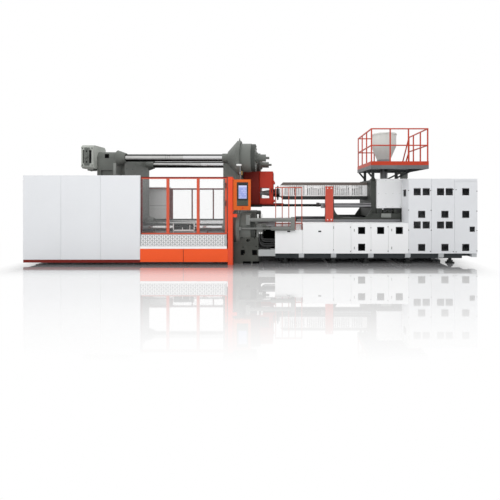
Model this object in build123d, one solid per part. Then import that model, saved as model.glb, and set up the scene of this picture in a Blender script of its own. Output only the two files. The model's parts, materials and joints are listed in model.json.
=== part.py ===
from build123d import *
import math
import os

# Two-platen injection moulding machine in millimetres.
# X runs from the clamp end to the injection end, Y to the rear, Z up, floor at Z 0.

# Overall layout
LEFT_X = -6880
RIGHT_X = 6880
COVER_Y = 1750
AXIS_Z = 2180
SHEET = 4
FOLD = 50
SEAM = 3
FIT = 0.3
RUN = 2.0
OVER = 1.0

# Tie bars and lock
BAR_R = 115
BAR_Y = 1150
BAR_DZ = 1100
LOCK_PITCH = 60
LOCK_TEETH = 3
GROOVE_DEPTH = 12
GROOVE_W = 32
TOOTH_W = 27
LOCK_X = -5094
LOCK_TRAVEL = 55
NUT_LENGTH = 270
NUT_HALF = 205
NUT_GAP = 3
GUIDE_R = 16
GUIDE_DZ = 165
HOUSING_HALF = 360
HOUSING_WALL = 42
HOUSING_LUG = 285
HOUSING_BOLT = 34
BAR_TAIL = 238
PLATEN_TRAVEL = 40 * LOCK_PITCH

# Fixed platen
FIXED_FACE_X = -990
FIXED_PLATE_T = 180
MOULD_HALF_Y = 1060
MOULD_HALF_Z = 1030
FLANGE_X = -504
FLANGE_T = 108
FLANGE_R = 540
SLEEVE_R = 140
BELL_R = 200
CYLINDER_R = 450
CYLINDER_L = 458
CAP_R = 113
LOCATING_R = 157.5
LOCATING_DEPTH = 40
NOZZLE_BORE_R = 135
CONE_BORE_R = 380
BOLT_HOLE_R = 19.5
BOLT_DEPTH = 70
BOLT_STEP = 400

# Moving platen
MOVING_BODY_X0 = -4900
MOVING_BODY_X1 = -4300
MOVING_FACE_X = MOVING_BODY_X1 + 100
MOVING_BODY_HALF_Y = 1300
MOVING_BODY_HALF_Z = 1290
MOVING_PAD_HALF = 960
POCKET_HALF_Y = 640
POCKET_HALF_Z = 480
POCKET_END_X = -4440
BELL_FOOT_R = 240
BELL_NOSE_R = 150
BELL_LENGTH = 250
SHOE_NOSE = 300
EJECTOR_STROKE = 250
EJECTOR_PIN_R = 22
EJECTOR_ROD_R = 60
EJECTOR_PIN_Y = 350
EJECTOR_PIN_Z = 200
EJECTOR_PLATE_T = 60
EJECTOR_FLANGE_X = MOVING_BODY_X0 + 100

# Clamp base and ways
GIRDER_Y0 = 860
GIRDER_Y1 = 1260
GIRDER_TOP = 560
RAIL_T = 60
WAY_Z = GIRDER_TOP + RAIL_T
BASE_X0 = -6860
FOOT_X0 = -620
FOOT_X1 = 170
FOOT_HALF_Y = 1500
FOOT_TOP = 850
FOOT_SEAM_Z = 580
PAD_H = 80
PEDESTAL_HALF = 800
GIRDER_PAD_X = [-6500, -5200, -3900, -2600, -1300]
CROSS_X = [BASE_X0, -5600, -3900, -1050]

# Travel cylinders
TRAVEL_Y = 550
TRAVEL_Z = 1060
TRAVEL_BARREL_R = 82
TRAVEL_BORE_R = 60
TRAVEL_ROD_R = 45
TRAVEL_GLAND = 90
TRAVEL_PISTON = 80
TRAVEL_BARREL_X1 = FIXED_FACE_X + 200 + PLATEN_TRAVEL + TRAVEL_GLAND

# Accumulator beside the lower front clamp cylinder
ACCU_Y = -1680
ACCU_Z = 1348
ACCU_R = 60
BOTTLE_Z = 1089
BOTTLE_R = 66
ACCU_X0 = -190
BOTTLE_X0 = 590
ACCU_X1 = 1170
ACCU_PIPE_R = 31

# Hydraulic hoses between the foot and the injection base
HOSE_R = 26
HOSE_ROWS = [(-1180, 480, 620), (-1060, 500, 560), (-940, 470, 640), (-820, 500, 580)]
DROP_HOSE_R = 18
DROP_X = (200, 260)
DROP_LOW = (560, 700)
DROP_Y = (-1460, -1410, -1360)
DROP_STEPS = (-30, 30, 0)
DROP_TOP = 960
DROP_BLOCK_Y = (-1485, -1335)

# Covers, gates and their frame
COVER_X1 = -3365
REAR_COVER_X1 = -3590
COVER_SEAMS = [LEFT_X, -5740, -4555]
COVER_Z0 = 160
FRONT_TOP_Z = 2690
REAR_TOP_Z = 2430
POST = 60
RAIL_Y0 = 1620
RAIL_Y1 = 1700
SILL_Z = 868
GATE_RAIL_H = 35
GUIDE_H = 30
GUIDE_DROP = 73
GATE_Y0 = 1640
GATE_Y1 = 1690
GATE_LAP = 47
GATE_X0 = COVER_X1 - GATE_LAP
REAR_GATE_X0 = REAR_COVER_X1 - 10
GATE_X1 = -766
GATE_GAP = 0.5
GATE_TRAVEL = 2480
TUBE = 50
TOP_TUBE = 30
FRONT_GATE_POSTS = [(GATE_X0, GATE_X0 + 60), (-2595, -2515), (-1680, -1600), (GATE_X1 - 60, GATE_X1)]
REAR_GATE_POSTS = [(REAR_GATE_X0, REAR_GATE_X0 + 105), (-2742, -2697), (-1890, -1845), (GATE_X1 - 60, GATE_X1)]
POST_PLACES = [LEFT_X + 20, -5770, -4585, -2110]
PANE = 6
TREAD_X1 = -764
TREAD_Z0 = 487
TREAD_SET = 4
SKIRT_SEAM_X = -2066
SKIRT_Z0 = 90
COLUMN_X0 = -730
COLUMN_X1 = -587
COLUMN_Y0 = 1600
COLUMN_TOP = 2645
COLUMN_WALL = 8

# Control panel
HMI_X0 = -577
HMI_X1 = -50
HMI_Z0 = 1647
HMI_Z1 = 2568
HMI_Y0 = 1610
HMI_Y1 = 1715
HMI_PIN_R = 8
HMI_PIN_X = -565
HMI_PIN_Y = 1703
HMI_KEY = 26
HMI_KEY_STEP = 34
BEZEL = (-464, -125, 1770, 2484)
STOP_PLACE = (-290, 1708)
STOP_TRAVEL = 6

# Purge guard over the nozzle
GUARD_X0 = 120
GUARD_X1 = 590
GUARD_Y = 550
GUARD_WALL = 50
GUARD_Z0 = 1810
GUARD_Z1 = 2900
GUARD_TRAVEL = 300
GUARD_WINDOW = (GUARD_X0 + 36, GUARD_X1 - 125, 1995, 2354)
PURGE_RAIL_H = 60

# Injection base
BASE_FRONT_Y = 1550
IBASE_X0 = 680
CABINET_X0 = 4770
IBASE_Z0 = 305
IBASE_TOP = 1235
IWAY_Z = 1310
NOTCH_X1 = 1530
NOTCH_Z = 1030
SLOT_Z = 987
SLOT_X = [1100, 2050]
IGIRDER_Y0 = 680
IGIRDER_Y1 = 955
BASE_SEAMS = [NOTCH_X1, 2470, 3010, 3620, 4150, CABINET_X0]
FRAME_HALF_Y = 1500
FRAME_Z0 = 160
FRAME_X = [1240, 2420, 3435, 4730, 6050]
FRAME_W = 110
BRACKET_X = [1490, 2475, 3620, 4750, 5770, 6780]
BRACKET_HALF = 80
FOOT_PAD_R = 130

# Cabinet
CABINET_Y0 = 960
CABINET_TOP = 2600
PANEL_T = 40
PANEL_SEAMS = [CABINET_X0, 5470, 6180, RIGHT_X]
VENT = 216
GRILLE_RIM = 8
GRILLE_SLOTS = 6
BASE_VENTS = [(3332, 1015), (3332, 502), (3915, 1015), (4485, 1015)]
PANEL_VENTS = [
    (5032, 2199), (5308, 2199), (5748, 2199), (6013, 2199), (6519, 2199),
    (5170, 1509), (5881, 1509), (6519, 1509),
    (5032, 1183), (5308, 1183), (5748, 1183), (6013, 1183),
    (5170, 494), (5881, 494), (6519, 494),
]
SMALL_VENT = (6718, 1054)
SMALL_VENT_SIZE = 159
SIDE_VENT = (-1340, -1110, 2055, 2267)

# Injection unit
CARRIAGE_FORWARD = 880
CARRIAGE_BACK = 150
NOZZLE_TIP_X = -100
BARREL_X0 = 705
BARREL_R = 150
SCREW_R = 75
BARREL_BORE_R = SCREW_R + 0.6
FRONT_PLATE_X0 = 3820
FRONT_PLATE_X1 = 3985
FRONT_PLATE_TOP = 2600
CARRIAGE_X1 = 6250
BEAM_TOP = IWAY_Z + 60
CARRIAGE_TOP = IWAY_Z + 200
UPRIGHT_X0 = 2510
UPRIGHT_X1 = 2600
UPRIGHT_HALF_Y = 830
GUSSET_R = 350
GUSSET_T = 60
WEDGE_L = 200
WEDGE_H = 290
SHIELD_X0 = 2295
SHIELD_X1 = 2545
SHIELD_Y = 1010
SHIELD_T = 40
SLEEVE_X0 = 820
SLEEVE_X1 = 3815
SLEEVE_HALF_Y = 330
SLEEVE_Z0 = 1950
SLEEVE_Z1 = 2540
SLEEVE_SLOT = 26
SLEEVE_PITCH = 64
HEATER_X0 = 960
HEATER_STEP = 415
HEATER_L = 340
UNIT_X0 = FRONT_PLATE_X1
UNIT_X1 = 5950
UNIT_HALF_Y = 900
UNIT_Z0 = 1680
UNIT_TOP = 2630
CROSSHEAD_X0 = 5350
CROSSHEAD_T = 200
CROSSHEAD_STROKE = 500
INJECT_Y = 560
INJECT_R = 130
INJECT_ROD_R = 65
INJECT_X1 = 5150
INJECT_BORE_R = INJECT_R - 30
INJECT_HEAD = 60
CARRIAGE_CYL_Y = 750
CARRIAGE_CYL_Z = 1750
CARRIAGE_CYL_R = 60
CARRIAGE_ROD_R = 24
CARRIAGE_CYL_X0 = 2180
CARRIAGE_CYL_BORE_R = 42

# Hopper and platform
HOPPER_X = FRONT_PLATE_X1 + 495
BARREL_X1 = HOPPER_X + 280
DECK_Z0 = 2915
DECK_Z1 = 3030
HOPPER_R = 420
HOPPER_Z0 = DECK_Z1 + 310
HOPPER_Z1 = HOPPER_Z0 + 460
HOPPER_TOP = HOPPER_Z1 + 425
HOPPER_FOOT_R = 220
HOPPER_OUT_R = 130
HOPPER_FEED_R = 90
HOPPER_WALL = 5
HOPPER_RIM = 18
HINGE_R = 14
LID_HINGE_Y = HOPPER_R + HOPPER_RIM + HINGE_R + 3
LID_PIN_R = 6
LID_HINGE_HALF = 45
DECK_X0 = HOPPER_X - 825
DECK_X1 = HOPPER_X + 975
DECK_Y0 = -1400
DECK_Y1 = 450
TOE_Z = DECK_Z1 + 120
RAIL_TOP_Z = DECK_Z1 + 1150
RAIL_MID_Z = DECK_Z1 + 635
RAIL_TUBE = 34
RAIL_INSET = 8
RAIL_POST_X = [DECK_X0 + 590, DECK_X0 + 1160]
RAIL_SIDE_Y = [-840, -263, 143]
LEG = 80
LEG_X = [3870, 4640]
LEG_Y = [-740, 330]

BARS = [(sy * BAR_Y, AXIS_Z + sz * BAR_DZ) for sy in (-1, 1) for sz in (-1, 1)]


# Shapes used throughout

def span(x0, x1, y0, y1, z0, z1):
    """Box between two planes on each axis."""
    size = Box(abs(x1 - x0), abs(y1 - y0), abs(z1 - z0))
    return Pos((x0 + x1) / 2, (y0 + y1) / 2, (z0 + z1) / 2) * size


def bar_x(x0, x1, y, z, r):
    return Pos((x0 + x1) / 2, y, z) * Rot(0, 90, 0) * Cylinder(r, x1 - x0)


def bar_y(y0, y1, x, z, r):
    return Pos(x, (y0 + y1) / 2, z) * Rot(90, 0, 0) * Cylinder(r, abs(y1 - y0))


def bar_z(z0, z1, x, y, r):
    return Pos(x, y, (z0 + z1) / 2) * Cylinder(r, z1 - z0)


def cone_x(x0, x1, y, z, r0, r1):
    """Cone with radius r0 at x0 and r1 at x1."""
    return Pos((x0 + x1) / 2, y, z) * Rot(0, 90, 0) * Cone(r0, r1, x1 - x0)


def section_x(x, half_y, half_z, corner, z=AXIS_Z):
    """Rounded rectangle across the machine at x."""
    plane = Plane(origin=(x, 0, z), x_dir=(0, 1, 0), z_dir=(1, 0, 0))
    return plane * RectangleRounded(2 * half_y, 2 * half_z, corner)


def slab_x(x0, x1, half_y, half_z, corner, z=AXIS_Z):
    return extrude(section_x(x0, half_y, half_z, corner, z), amount=x1 - x0)


def taper_x(x0, x1, size0, size1, corner):
    """Straight-sided web between two rounded rectangles."""
    first = section_x(x0, size0[0], size0[1], corner)
    last = section_x(x1, size1[0], size1[1], corner)
    return loft([first.face(), last.face()], ruled=True)


def strut(start, end, size):
    """Square tube from start to end, kept upright as far as it can be."""
    line = Line(start, end)
    plane = Plane(origin=start, z_dir=line % 0)
    return extrude(plane * Rectangle(size, size), amount=line.length)


def pan(x0, x1, z0, z1, side, outer=COVER_Y, depth=FOLD):
    """Folded sheet cover: its face looks outwards and its edges are turned in."""
    shell = span(x0, x1, side * (outer - depth), side * outer, z0, z1)
    inside = span(
        x0 + SHEET, x1 - SHEET,
        side * (outer - depth - 1), side * (outer - SHEET),
        z0 + SHEET, z1 - SHEET,
    )
    return shell - inside


def save(name, *pieces):
    solids = [solid for piece in pieces for solid in piece.solids()]
    shape = solids[0] if len(solids) == 1 else Compound(children=solids)
    export_step(shape, f"parts/{name}.step")


# Clamp end: tie bars and lock

def tooth_places(centre):
    first = centre - (LOCK_TEETH - 1) / 2 * LOCK_PITCH
    return [first + i * LOCK_PITCH for i in range(LOCK_TEETH)]


BAR_X0 = LOCK_X - BAR_TAIL
BAR_X1 = FLANGE_X + FLANGE_T + CYLINDER_L


def tie_bar(y, z):
    bar = bar_x(BAR_X0, BAR_X1, y, z, BAR_R)
    bar = chamfer(bar.edges().filter_by(GeomType.CIRCLE).sort_by(Axis.X)[0], 10)
    for stop in (LOCK_X, LOCK_X + PLATEN_TRAVEL):
        for x in tooth_places(stop):
            ring = bar_x(x - GROOVE_W / 2, x + GROOVE_W / 2, y, z, BAR_R + 5)
            root = bar_x(x - GROOVE_W / 2, x + GROOVE_W / 2, y, z, BAR_R - GROOVE_DEPTH)
            bar -= ring - root
    return bar


def lock_nut(y, z, side):
    """Half nut on one side of a tie bar, drawn back from the bar by its travel."""
    near = y + side * NUT_GAP
    far = y + side * NUT_HALF
    x0 = LOCK_X - NUT_LENGTH / 2
    x1 = LOCK_X + NUT_LENGTH / 2
    nut = span(x0, x1, near, far, z - NUT_HALF, z + NUT_HALF)
    bore = bar_x(x0 - 1, x1 + 1, y, z, BAR_R + RUN)
    tip = BAR_R - GROOVE_DEPTH + 1
    for x in tooth_places(LOCK_X):
        half = TOOTH_W / 2
        tooth = bar_x(x - half, x + half, y, z, BAR_R + RUN) - bar_x(x - half, x + half, y, z, tip)
        bore -= tooth
    nut -= bore
    for pin_z in (z - GUIDE_DZ, z + GUIDE_DZ):
        if side < 0:
            nut += bar_y(near, near + 2 * NUT_HALF, LOCK_X, pin_z, GUIDE_R)
        else:
            nut -= bar_y(near - OVER, far + OVER, LOCK_X, pin_z, GUIDE_R + RUN)
    return Pos(0, side * LOCK_TRAVEL, 0) * nut


def lock_housing(y, z):
    """Frame round the split nut, open to both sides so that the halves can draw back."""
    x0 = LOCK_X - NUT_LENGTH / 2 - FIT - HOUSING_WALL
    x1 = MOVING_BODY_X0
    body = span(x0, x1, y - HOUSING_HALF, y + HOUSING_HALF, z - HOUSING_HALF, z + HOUSING_HALF)
    body = chamfer(body.edges().filter_by(Axis.X), 60)
    clear = NUT_HALF + FIT
    room = span(
        LOCK_X - NUT_LENGTH / 2 - FIT, LOCK_X + NUT_LENGTH / 2 + FIT,
        y - HOUSING_HALF - 1, y + HOUSING_HALF + 1,
        z - clear, z + clear,
    )
    body -= room
    body -= bar_x(x0 - 1, x1 + 1, y, z, BAR_R + RUN)
    for up in (-1, 1):
        for across in (-HOUSING_LUG, HOUSING_LUG):
            body += bar_x(x0 - HOUSING_BOLT, x0, y + across, z + up * HOUSING_LUG, HOUSING_BOLT)
    return body


# Clamp end: platens

def bolt_holes(face_x, inward):
    """Threaded holes for the mould, in rows on both platens."""
    places = (-2, -1, 1, 2)
    end = face_x + inward * BOLT_DEPTH
    x0, x1 = sorted((face_x - inward, end))
    return [
        bar_x(x0, x1, BOLT_STEP * i, AXIS_Z + BOLT_STEP * j, BOLT_HOLE_R)
        for i in places for j in places
    ]


def fixed_platen():
    plate_x1 = FIXED_FACE_X + FIXED_PLATE_T
    flange_x1 = FLANGE_X + FLANGE_T
    body = slab_x(FIXED_FACE_X, plate_x1, MOULD_HALF_Y, MOULD_HALF_Z, 60)
    body += taper_x(plate_x1, FLANGE_X, (MOULD_HALF_Y, MOULD_HALF_Z), (BAR_Y, BAR_DZ), 60)
    body += slab_x(FLANGE_X, flange_x1, BAR_Y + 60, BAR_DZ + 130, 60)
    body += span(FLANGE_X, flange_x1, -PEDESTAL_HALF, PEDESTAL_HALF, FOOT_TOP, AXIS_Z - BAR_DZ)
    for y, z in BARS:
        body += bar_x(FIXED_FACE_X, plate_x1, y, z, SLEEVE_R)
        body += cone_x(plate_x1, FLANGE_X, y, z, BELL_R, FLANGE_R - 10)
        body += bar_x(FLANGE_X, flange_x1, y, z, FLANGE_R)
    for y, z in BARS:
        body -= bar_x(FIXED_FACE_X - 1, flange_x1 + 1, y, z, BAR_R + FIT)
    for side in (-1, 1):
        body -= bar_x(FIXED_FACE_X - 1, flange_x1 + 1, side * TRAVEL_Y, TRAVEL_Z, TRAVEL_BARREL_R + FIT)
        body -= span(FLANGE_X - 150, flange_x1 + 1, side * 300, side * 900, AXIS_Z + 480, AXIS_Z + 900)
        body -= span(FLANGE_X - 150, flange_x1 + 1, side * 480, side * 950, AXIS_Z - 380, AXIS_Z + 380)
    body -= bar_x(FIXED_FACE_X - 1, FIXED_FACE_X + LOCATING_DEPTH, 0, AXIS_Z, LOCATING_R)
    body -= bar_x(FIXED_FACE_X, plate_x1, 0, AXIS_Z, NOZZLE_BORE_R)
    body -= cone_x(plate_x1, flange_x1 + 1, 0, AXIS_Z, NOZZLE_BORE_R, CONE_BORE_R)
    for hole in bolt_holes(FIXED_FACE_X, 1):
        body -= hole
    return body


def platen_hollows():
    """Openings that lighten the moving platen, and the pocket of its ejector."""
    x0 = MOVING_BODY_X0 - OVER
    x1 = MOVING_BODY_X1 - 120
    hollows = [span(x0, POCKET_END_X, -POCKET_HALF_Y, POCKET_HALF_Y, AXIS_Z - POCKET_HALF_Z, AXIS_Z + POCKET_HALF_Z)]
    for side in (-1, 1):
        hollows.append(span(x0, x1, side * 760, side * (BAR_Y - 10), AXIS_Z - 700, AXIS_Z + 700))
        hollows.append(span(x0, x1, -700, 700, AXIS_Z + side * 600, AXIS_Z + side * 1120))
        face = side * MOVING_BODY_HALF_Y
        hollows.append(span(
            MOVING_BODY_X0 + 120, x1, face - side * 60, face + side * OVER, AXIS_Z - 700, AXIS_Z + 700,
        ))
    return hollows


def moving_platen():
    body = slab_x(MOVING_BODY_X0, MOVING_BODY_X1, MOVING_BODY_HALF_Y, MOVING_BODY_HALF_Z, 190)
    body += slab_x(MOVING_BODY_X1, MOVING_FACE_X, MOVING_PAD_HALF, MOVING_PAD_HALF, 60)
    for y, z in BARS:
        body += cone_x(MOVING_BODY_X1, MOVING_BODY_X1 + BELL_LENGTH, y, z, BELL_FOOT_R, BELL_NOSE_R)
    for y, z in BARS:
        body -= bar_x(MOVING_BODY_X0 - OVER, MOVING_BODY_X1 + BELL_LENGTH + OVER, y, z, BAR_R + RUN)
    for hollow in platen_hollows():
        body -= hollow
    for y in (-EJECTOR_PIN_Y, EJECTOR_PIN_Y):
        for dz in (-EJECTOR_PIN_Z, EJECTOR_PIN_Z):
            body -= bar_x(POCKET_END_X - OVER, MOVING_FACE_X + OVER, y, AXIS_Z + dz, EJECTOR_PIN_R + RUN)
    for hole in bolt_holes(MOVING_FACE_X, -1):
        body -= hole
    return body


def clamp_cylinder(y, z):
    x0 = FLANGE_X + FLANGE_T
    band = 130
    body = bar_x(x0, BAR_X1 - band, y, z, CYLINDER_R)
    body += bar_x(BAR_X1 - band, BAR_X1, y, z, CYLINDER_R - 14)
    body = body - bar_x(x0 - 1, BAR_X1 + 1, y, z, BAR_R + FIT)
    return body


def bar_cap(y, z):
    cap = bar_x(BAR_X1, BAR_X1 + 67, y, z, 170)
    cap += bar_x(BAR_X1 + 67, BAR_X1 + 321, y, z, CAP_R)
    cap += bar_x(BAR_X1 + 321, BAR_X1 + 429, y, z, 40)
    return cap


def lifting_eye(y):
    x = FLANGE_X + FLANGE_T / 2
    base_z = AXIS_Z + BAR_DZ + FLANGE_R
    eye = Pos(x, y, base_z + 45) * Rot(0, 90, 0) * Torus(32, 11)
    eye += bar_z(base_z, base_z + 16, x, y, 28)
    return eye


def platen_foot():
    foot = span(FOOT_X0, FOOT_X1, -FOOT_HALF_Y, FOOT_HALF_Y, 0, FOOT_TOP)
    flange_x1 = FLANGE_X + FLANGE_T
    for side in (-1, 1):
        y = side * BAR_Y
        z = AXIS_Z - BAR_DZ
        foot -= bar_x(FOOT_X0 - 1, flange_x1 + FIT, y, z, FLANGE_R + FIT)
        foot -= bar_x(flange_x1 - 1, FOOT_X1 + 1, y, z, CYLINDER_R + FIT)
        face = side * FOOT_HALF_Y
        for x in (-300, 30):
            foot -= span(x - 55, x + 55, face - side * 200, face + side, 300, 410)
        foot -= bar_y(face - side * 120, face + side, -160, 700, 45)
        foot -= span(FOOT_X0 - 1, FOOT_X1 + 1, face - side * 8, face + side, FOOT_SEAM_Z - 4, FOOT_SEAM_Z + 4)
    return foot


# Clamp end: base and travel cylinders

def clamp_base():
    body = None
    for side in (-1, 1):
        girder = span(BASE_X0, FOOT_X0, side * GIRDER_Y0, side * GIRDER_Y1, PAD_H, GIRDER_TOP)
        body = girder if body is None else body + girder
    for x in CROSS_X:
        body += span(x, x + 240, -GIRDER_Y0 - 1, GIRDER_Y0 + 1, PAD_H + 60, GIRDER_TOP - 60)
    for side in (-1, 1):
        for x in POST_PLACES + [cover_end(side) - POST, COLUMN_X0 + 20]:
            reach = COLUMN_Y0 if x > COVER_X1 + 2000 else RAIL_Y0 - POST
            body += span(x, x + POST, side * GIRDER_Y1, side * reach, PAD_H + 20, COVER_Z0 - 6)
    for x in GIRDER_PAD_X:
        for side in (-1, 1):
            body += span(x, x + 220, side * (GIRDER_Y0 + 60), side * (GIRDER_Y1 - 60), 0, PAD_H + 1)
    return body


def way(side):
    return span(BASE_X0 + 100, FIXED_FACE_X - 150, side * GIRDER_Y0, side * GIRDER_Y1, GIRDER_TOP, WAY_Z)


def platen_shoe(side):
    y0, y1 = side * (GIRDER_Y0 + 20), side * (BAR_Y - 5)
    top = AXIS_Z - MOVING_BODY_HALF_Z
    nose_top = AXIS_Z - BAR_DZ - BELL_FOOT_R - 10
    shoe = span(MOVING_BODY_X0 + RUN, MOVING_BODY_X1, y0, y1, WAY_Z + FIT, top)
    shoe += span(MOVING_BODY_X0 + RUN, MOVING_BODY_X1 + SHOE_NOSE, y0, y1, WAY_Z + FIT, nose_top)
    return chamfer(shoe.edges().filter_by(Axis.Y).group_by(Axis.Z)[0], 25)


def travel_barrel(side):
    """Cylinder that hangs through the fixed platen and reaches into the injection base."""
    y = side * TRAVEL_Y
    x0 = FIXED_FACE_X
    body = bar_x(x0, TRAVEL_BARREL_X1, y, TRAVEL_Z, TRAVEL_BARREL_R)
    body += bar_x(TRAVEL_BARREL_X1 - 200, TRAVEL_BARREL_X1, y, TRAVEL_Z, 110)
    for x in (-300, TRAVEL_BARREL_X1 - 270):
        body += span(x, x + 130, y - 60, y + 60, TRAVEL_Z, TRAVEL_Z + 120)
    body -= bar_x(x0 + TRAVEL_GLAND, TRAVEL_BARREL_X1 - TRAVEL_PISTON, y, TRAVEL_Z, TRAVEL_BORE_R)
    body -= bar_x(x0 - OVER, x0 + TRAVEL_GLAND + OVER, y, TRAVEL_Z, TRAVEL_ROD_R + RUN)
    return body


def travel_rod(side):
    y = side * TRAVEL_Y
    piston_x = FIXED_FACE_X + TRAVEL_GLAND + 30
    rod = bar_x(MOVING_BODY_X1, piston_x, y, TRAVEL_Z, TRAVEL_ROD_R)
    rod += bar_x(piston_x, piston_x + TRAVEL_PISTON, y, TRAVEL_Z, TRAVEL_BORE_R - FIT)
    return rod


def ejector_cylinder():
    x1 = EJECTOR_FLANGE_X
    body = span(x1 - 60, x1, -POCKET_HALF_Y, POCKET_HALF_Y, AXIS_Z - 220, AXIS_Z + 220)
    body += bar_x(x1 - 560, x1 - 60, 0, AXIS_Z, 130)
    body += bar_x(x1 - 590, x1 - 560, 0, AXIS_Z, 150)
    body -= bar_x(x1 - 500, x1 + OVER, 0, AXIS_Z, EJECTOR_ROD_R + FIT)
    return body


def ejector_plate():
    x0 = EJECTOR_FLANGE_X + 40
    plate = span(x0, x0 + EJECTOR_PLATE_T, -480, 480, AXIS_Z - 320, AXIS_Z + 320)
    plate = chamfer(plate.edges().filter_by(Axis.X), 50)
    for y in (-EJECTOR_PIN_Y, EJECTOR_PIN_Y):
        for z in (-EJECTOR_PIN_Z, EJECTOR_PIN_Z):
            plate += bar_x(x0 + EJECTOR_PLATE_T, MOVING_FACE_X - 5, y, AXIS_Z + z, EJECTOR_PIN_R)
    plate += bar_x(x0 - 440, x0, 0, AXIS_Z, EJECTOR_ROD_R)
    return plate


def clamp_accumulator():
    """Accumulator over its gas bottle, held by a saddle block and a common end block."""
    body = bar_x(ACCU_X0, ACCU_X1, ACCU_Y, ACCU_Z, ACCU_R)
    body += bar_x(BOTTLE_X0, ACCU_X1, ACCU_Y, BOTTLE_Z, BOTTLE_R)
    body += cone_x(BOTTLE_X0 - 60, BOTTLE_X0, ACCU_Y, BOTTLE_Z, ACCU_PIPE_R, BOTTLE_R)
    pipe_x0 = FLANGE_X + FLANGE_T
    body += bar_x(pipe_x0, BOTTLE_X0 - 60, ACCU_Y, BOTTLE_Z, ACCU_PIPE_R)
    front = -COVER_Y + 5
    body += span(pipe_x0, pipe_x0 + 56, front, -BAR_Y - CYLINDER_R - FIT, BOTTLE_Z - 49, BOTTLE_Z + 51)
    saddle = span(ACCU_X0, ACCU_X0 + 120, front, -1480, 1200, 1500)
    saddle -= bar_x(ACCU_X0 - OVER, ACCU_X0 + 121, -BAR_Y, AXIS_Z - BAR_DZ, CYLINDER_R + FIT)
    body += saddle
    body += span(ACCU_X1, ACCU_X1 + 115, front, -1450, NOTCH_Z, ACCU_Z + 75)
    body += span(ACCU_X1, ACCU_X1 + 115, front, -1320, NOTCH_Z, NOTCH_Z + 20)
    return body


# Clamp end: covers, rails and gates

def cover_end(side):
    """End of the covers on one side: the rear ones stop a little earlier."""
    return COVER_X1 if side < 0 else REAR_COVER_X1


def guard_frame(side, top_z):
    """Posts with the lower and upper rail of one gate."""
    rail_z = top_z - GUIDE_DROP
    outer, inner = side * RAIL_Y1, side * RAIL_Y0
    post_in = side * (RAIL_Y0 - POST)
    pieces = span(POST_PLACES[0], COLUMN_X0, inner, outer, SILL_Z, SILL_Z + GATE_RAIL_H)
    pieces += span(POST_PLACES[0], COLUMN_X0, inner, outer, rail_z, rail_z + GUIDE_H)
    places = POST_PLACES + [cover_end(side) - POST]
    for x in places:
        top = rail_z + GUIDE_H if x < COVER_X1 else SILL_Z + GATE_RAIL_H
        pieces += span(x, x + POST, post_in, inner, PAD_H + 20, top)
    foot_y = side * RAIL_Y1
    for x in places:
        pieces += span(x, x + POST, inner, foot_y, PAD_H + 20, COVER_Z0 - 6)
    return pieces


def clamp_covers(side, top_z):
    pieces = []
    seams = COVER_SEAMS + [cover_end(side)]
    for x0, x1 in zip(seams, seams[1:]):
        pieces.append(pan(x0 + SEAM, x1 - SEAM, COVER_Z0, top_z, side))
    return pieces


def end_cover():
    half = COVER_Y - FOLD
    shell = span(LEFT_X, LEFT_X + FOLD - 34, -half, half, COVER_Z0, REAR_TOP_Z)
    inside = span(LEFT_X + SHEET, LEFT_X + FOLD, -half + SHEET, half - SHEET, COVER_Z0 + SHEET, REAR_TOP_Z - SHEET)
    return shell - inside


def gate(side, top_z, posts):
    z0 = SILL_Z + GATE_RAIL_H + GATE_GAP
    z1 = top_z - GUIDE_DROP - GATE_GAP
    near, far = side * GATE_Y0, side * GATE_Y1
    frame = span(posts[0][0], GATE_X1, near, far, z0, z0 + TUBE)
    frame += span(posts[0][0], GATE_X1, near, far, z1 - TOP_TUBE, z1)
    for x0, x1 in posts:
        frame += span(x0, x1, near, far, z0, z1)
    return frame


def gate_panes(side, top_z, posts):
    z0 = SILL_Z + GATE_RAIL_H + GATE_GAP + TUBE + FIT
    z1 = top_z - GUIDE_DROP - GATE_GAP - TOP_TUBE - FIT
    middle = side * (GATE_Y0 + GATE_Y1) / 2
    panes = []
    for left, right in zip(posts, posts[1:]):
        panes.append(span(left[1] + FIT, right[0] - FIT, middle - PANE / 2, middle + PANE / 2, z0, z1))
    return panes


def pull_handle(x, y, z0, z1, side):
    """Bow handle standing off a face at y."""
    reach = side * 44
    grip = bar_z(z0, z1, x, y + reach, 13)
    for z in (z0 + 14, z1 - 14):
        grip += bar_y(y, y + reach, x, z, 11)
    return grip


def gate_column(side, top):
    y0, y1 = side * COLUMN_Y0, side * COVER_Y
    tube = span(COLUMN_X0, COLUMN_X1, y0, y1, 0, top)
    tube -= span(
        COLUMN_X0 + COLUMN_WALL, COLUMN_X1 - COLUMN_WALL,
        y0 + side * COLUMN_WALL, y1 - side * COLUMN_WALL,
        -1, top - COLUMN_WALL,
    )
    return tube


def skirt(side):
    """Lower panels below the gate, in two lengths."""
    panels = []
    for x0, x1 in ((cover_end(side), SKIRT_SEAM_X), (SKIRT_SEAM_X, COLUMN_X0)):
        panels.append(pan(x0 + SEAM, x1 - SEAM, SKIRT_Z0, TREAD_Z0 - SHEET, side))
    return panels


def tread_panel(side):
    """Tread plate strip between skirt and gate, with its pale lower edge."""
    top = SILL_Z + GATE_RAIL_H + 12
    face = COVER_Y - TREAD_SET
    return pan(cover_end(side) + SEAM, TREAD_X1, TREAD_Z0, top, side, face, FOLD - TREAD_SET)


def plinth(side):
    return span(LEFT_X + SEAM, cover_end(side) - SEAM, side * (RAIL_Y0 + 80), side * (COVER_Y - 8), 70, COVER_Z0 - 6)


# Control panel

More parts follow.
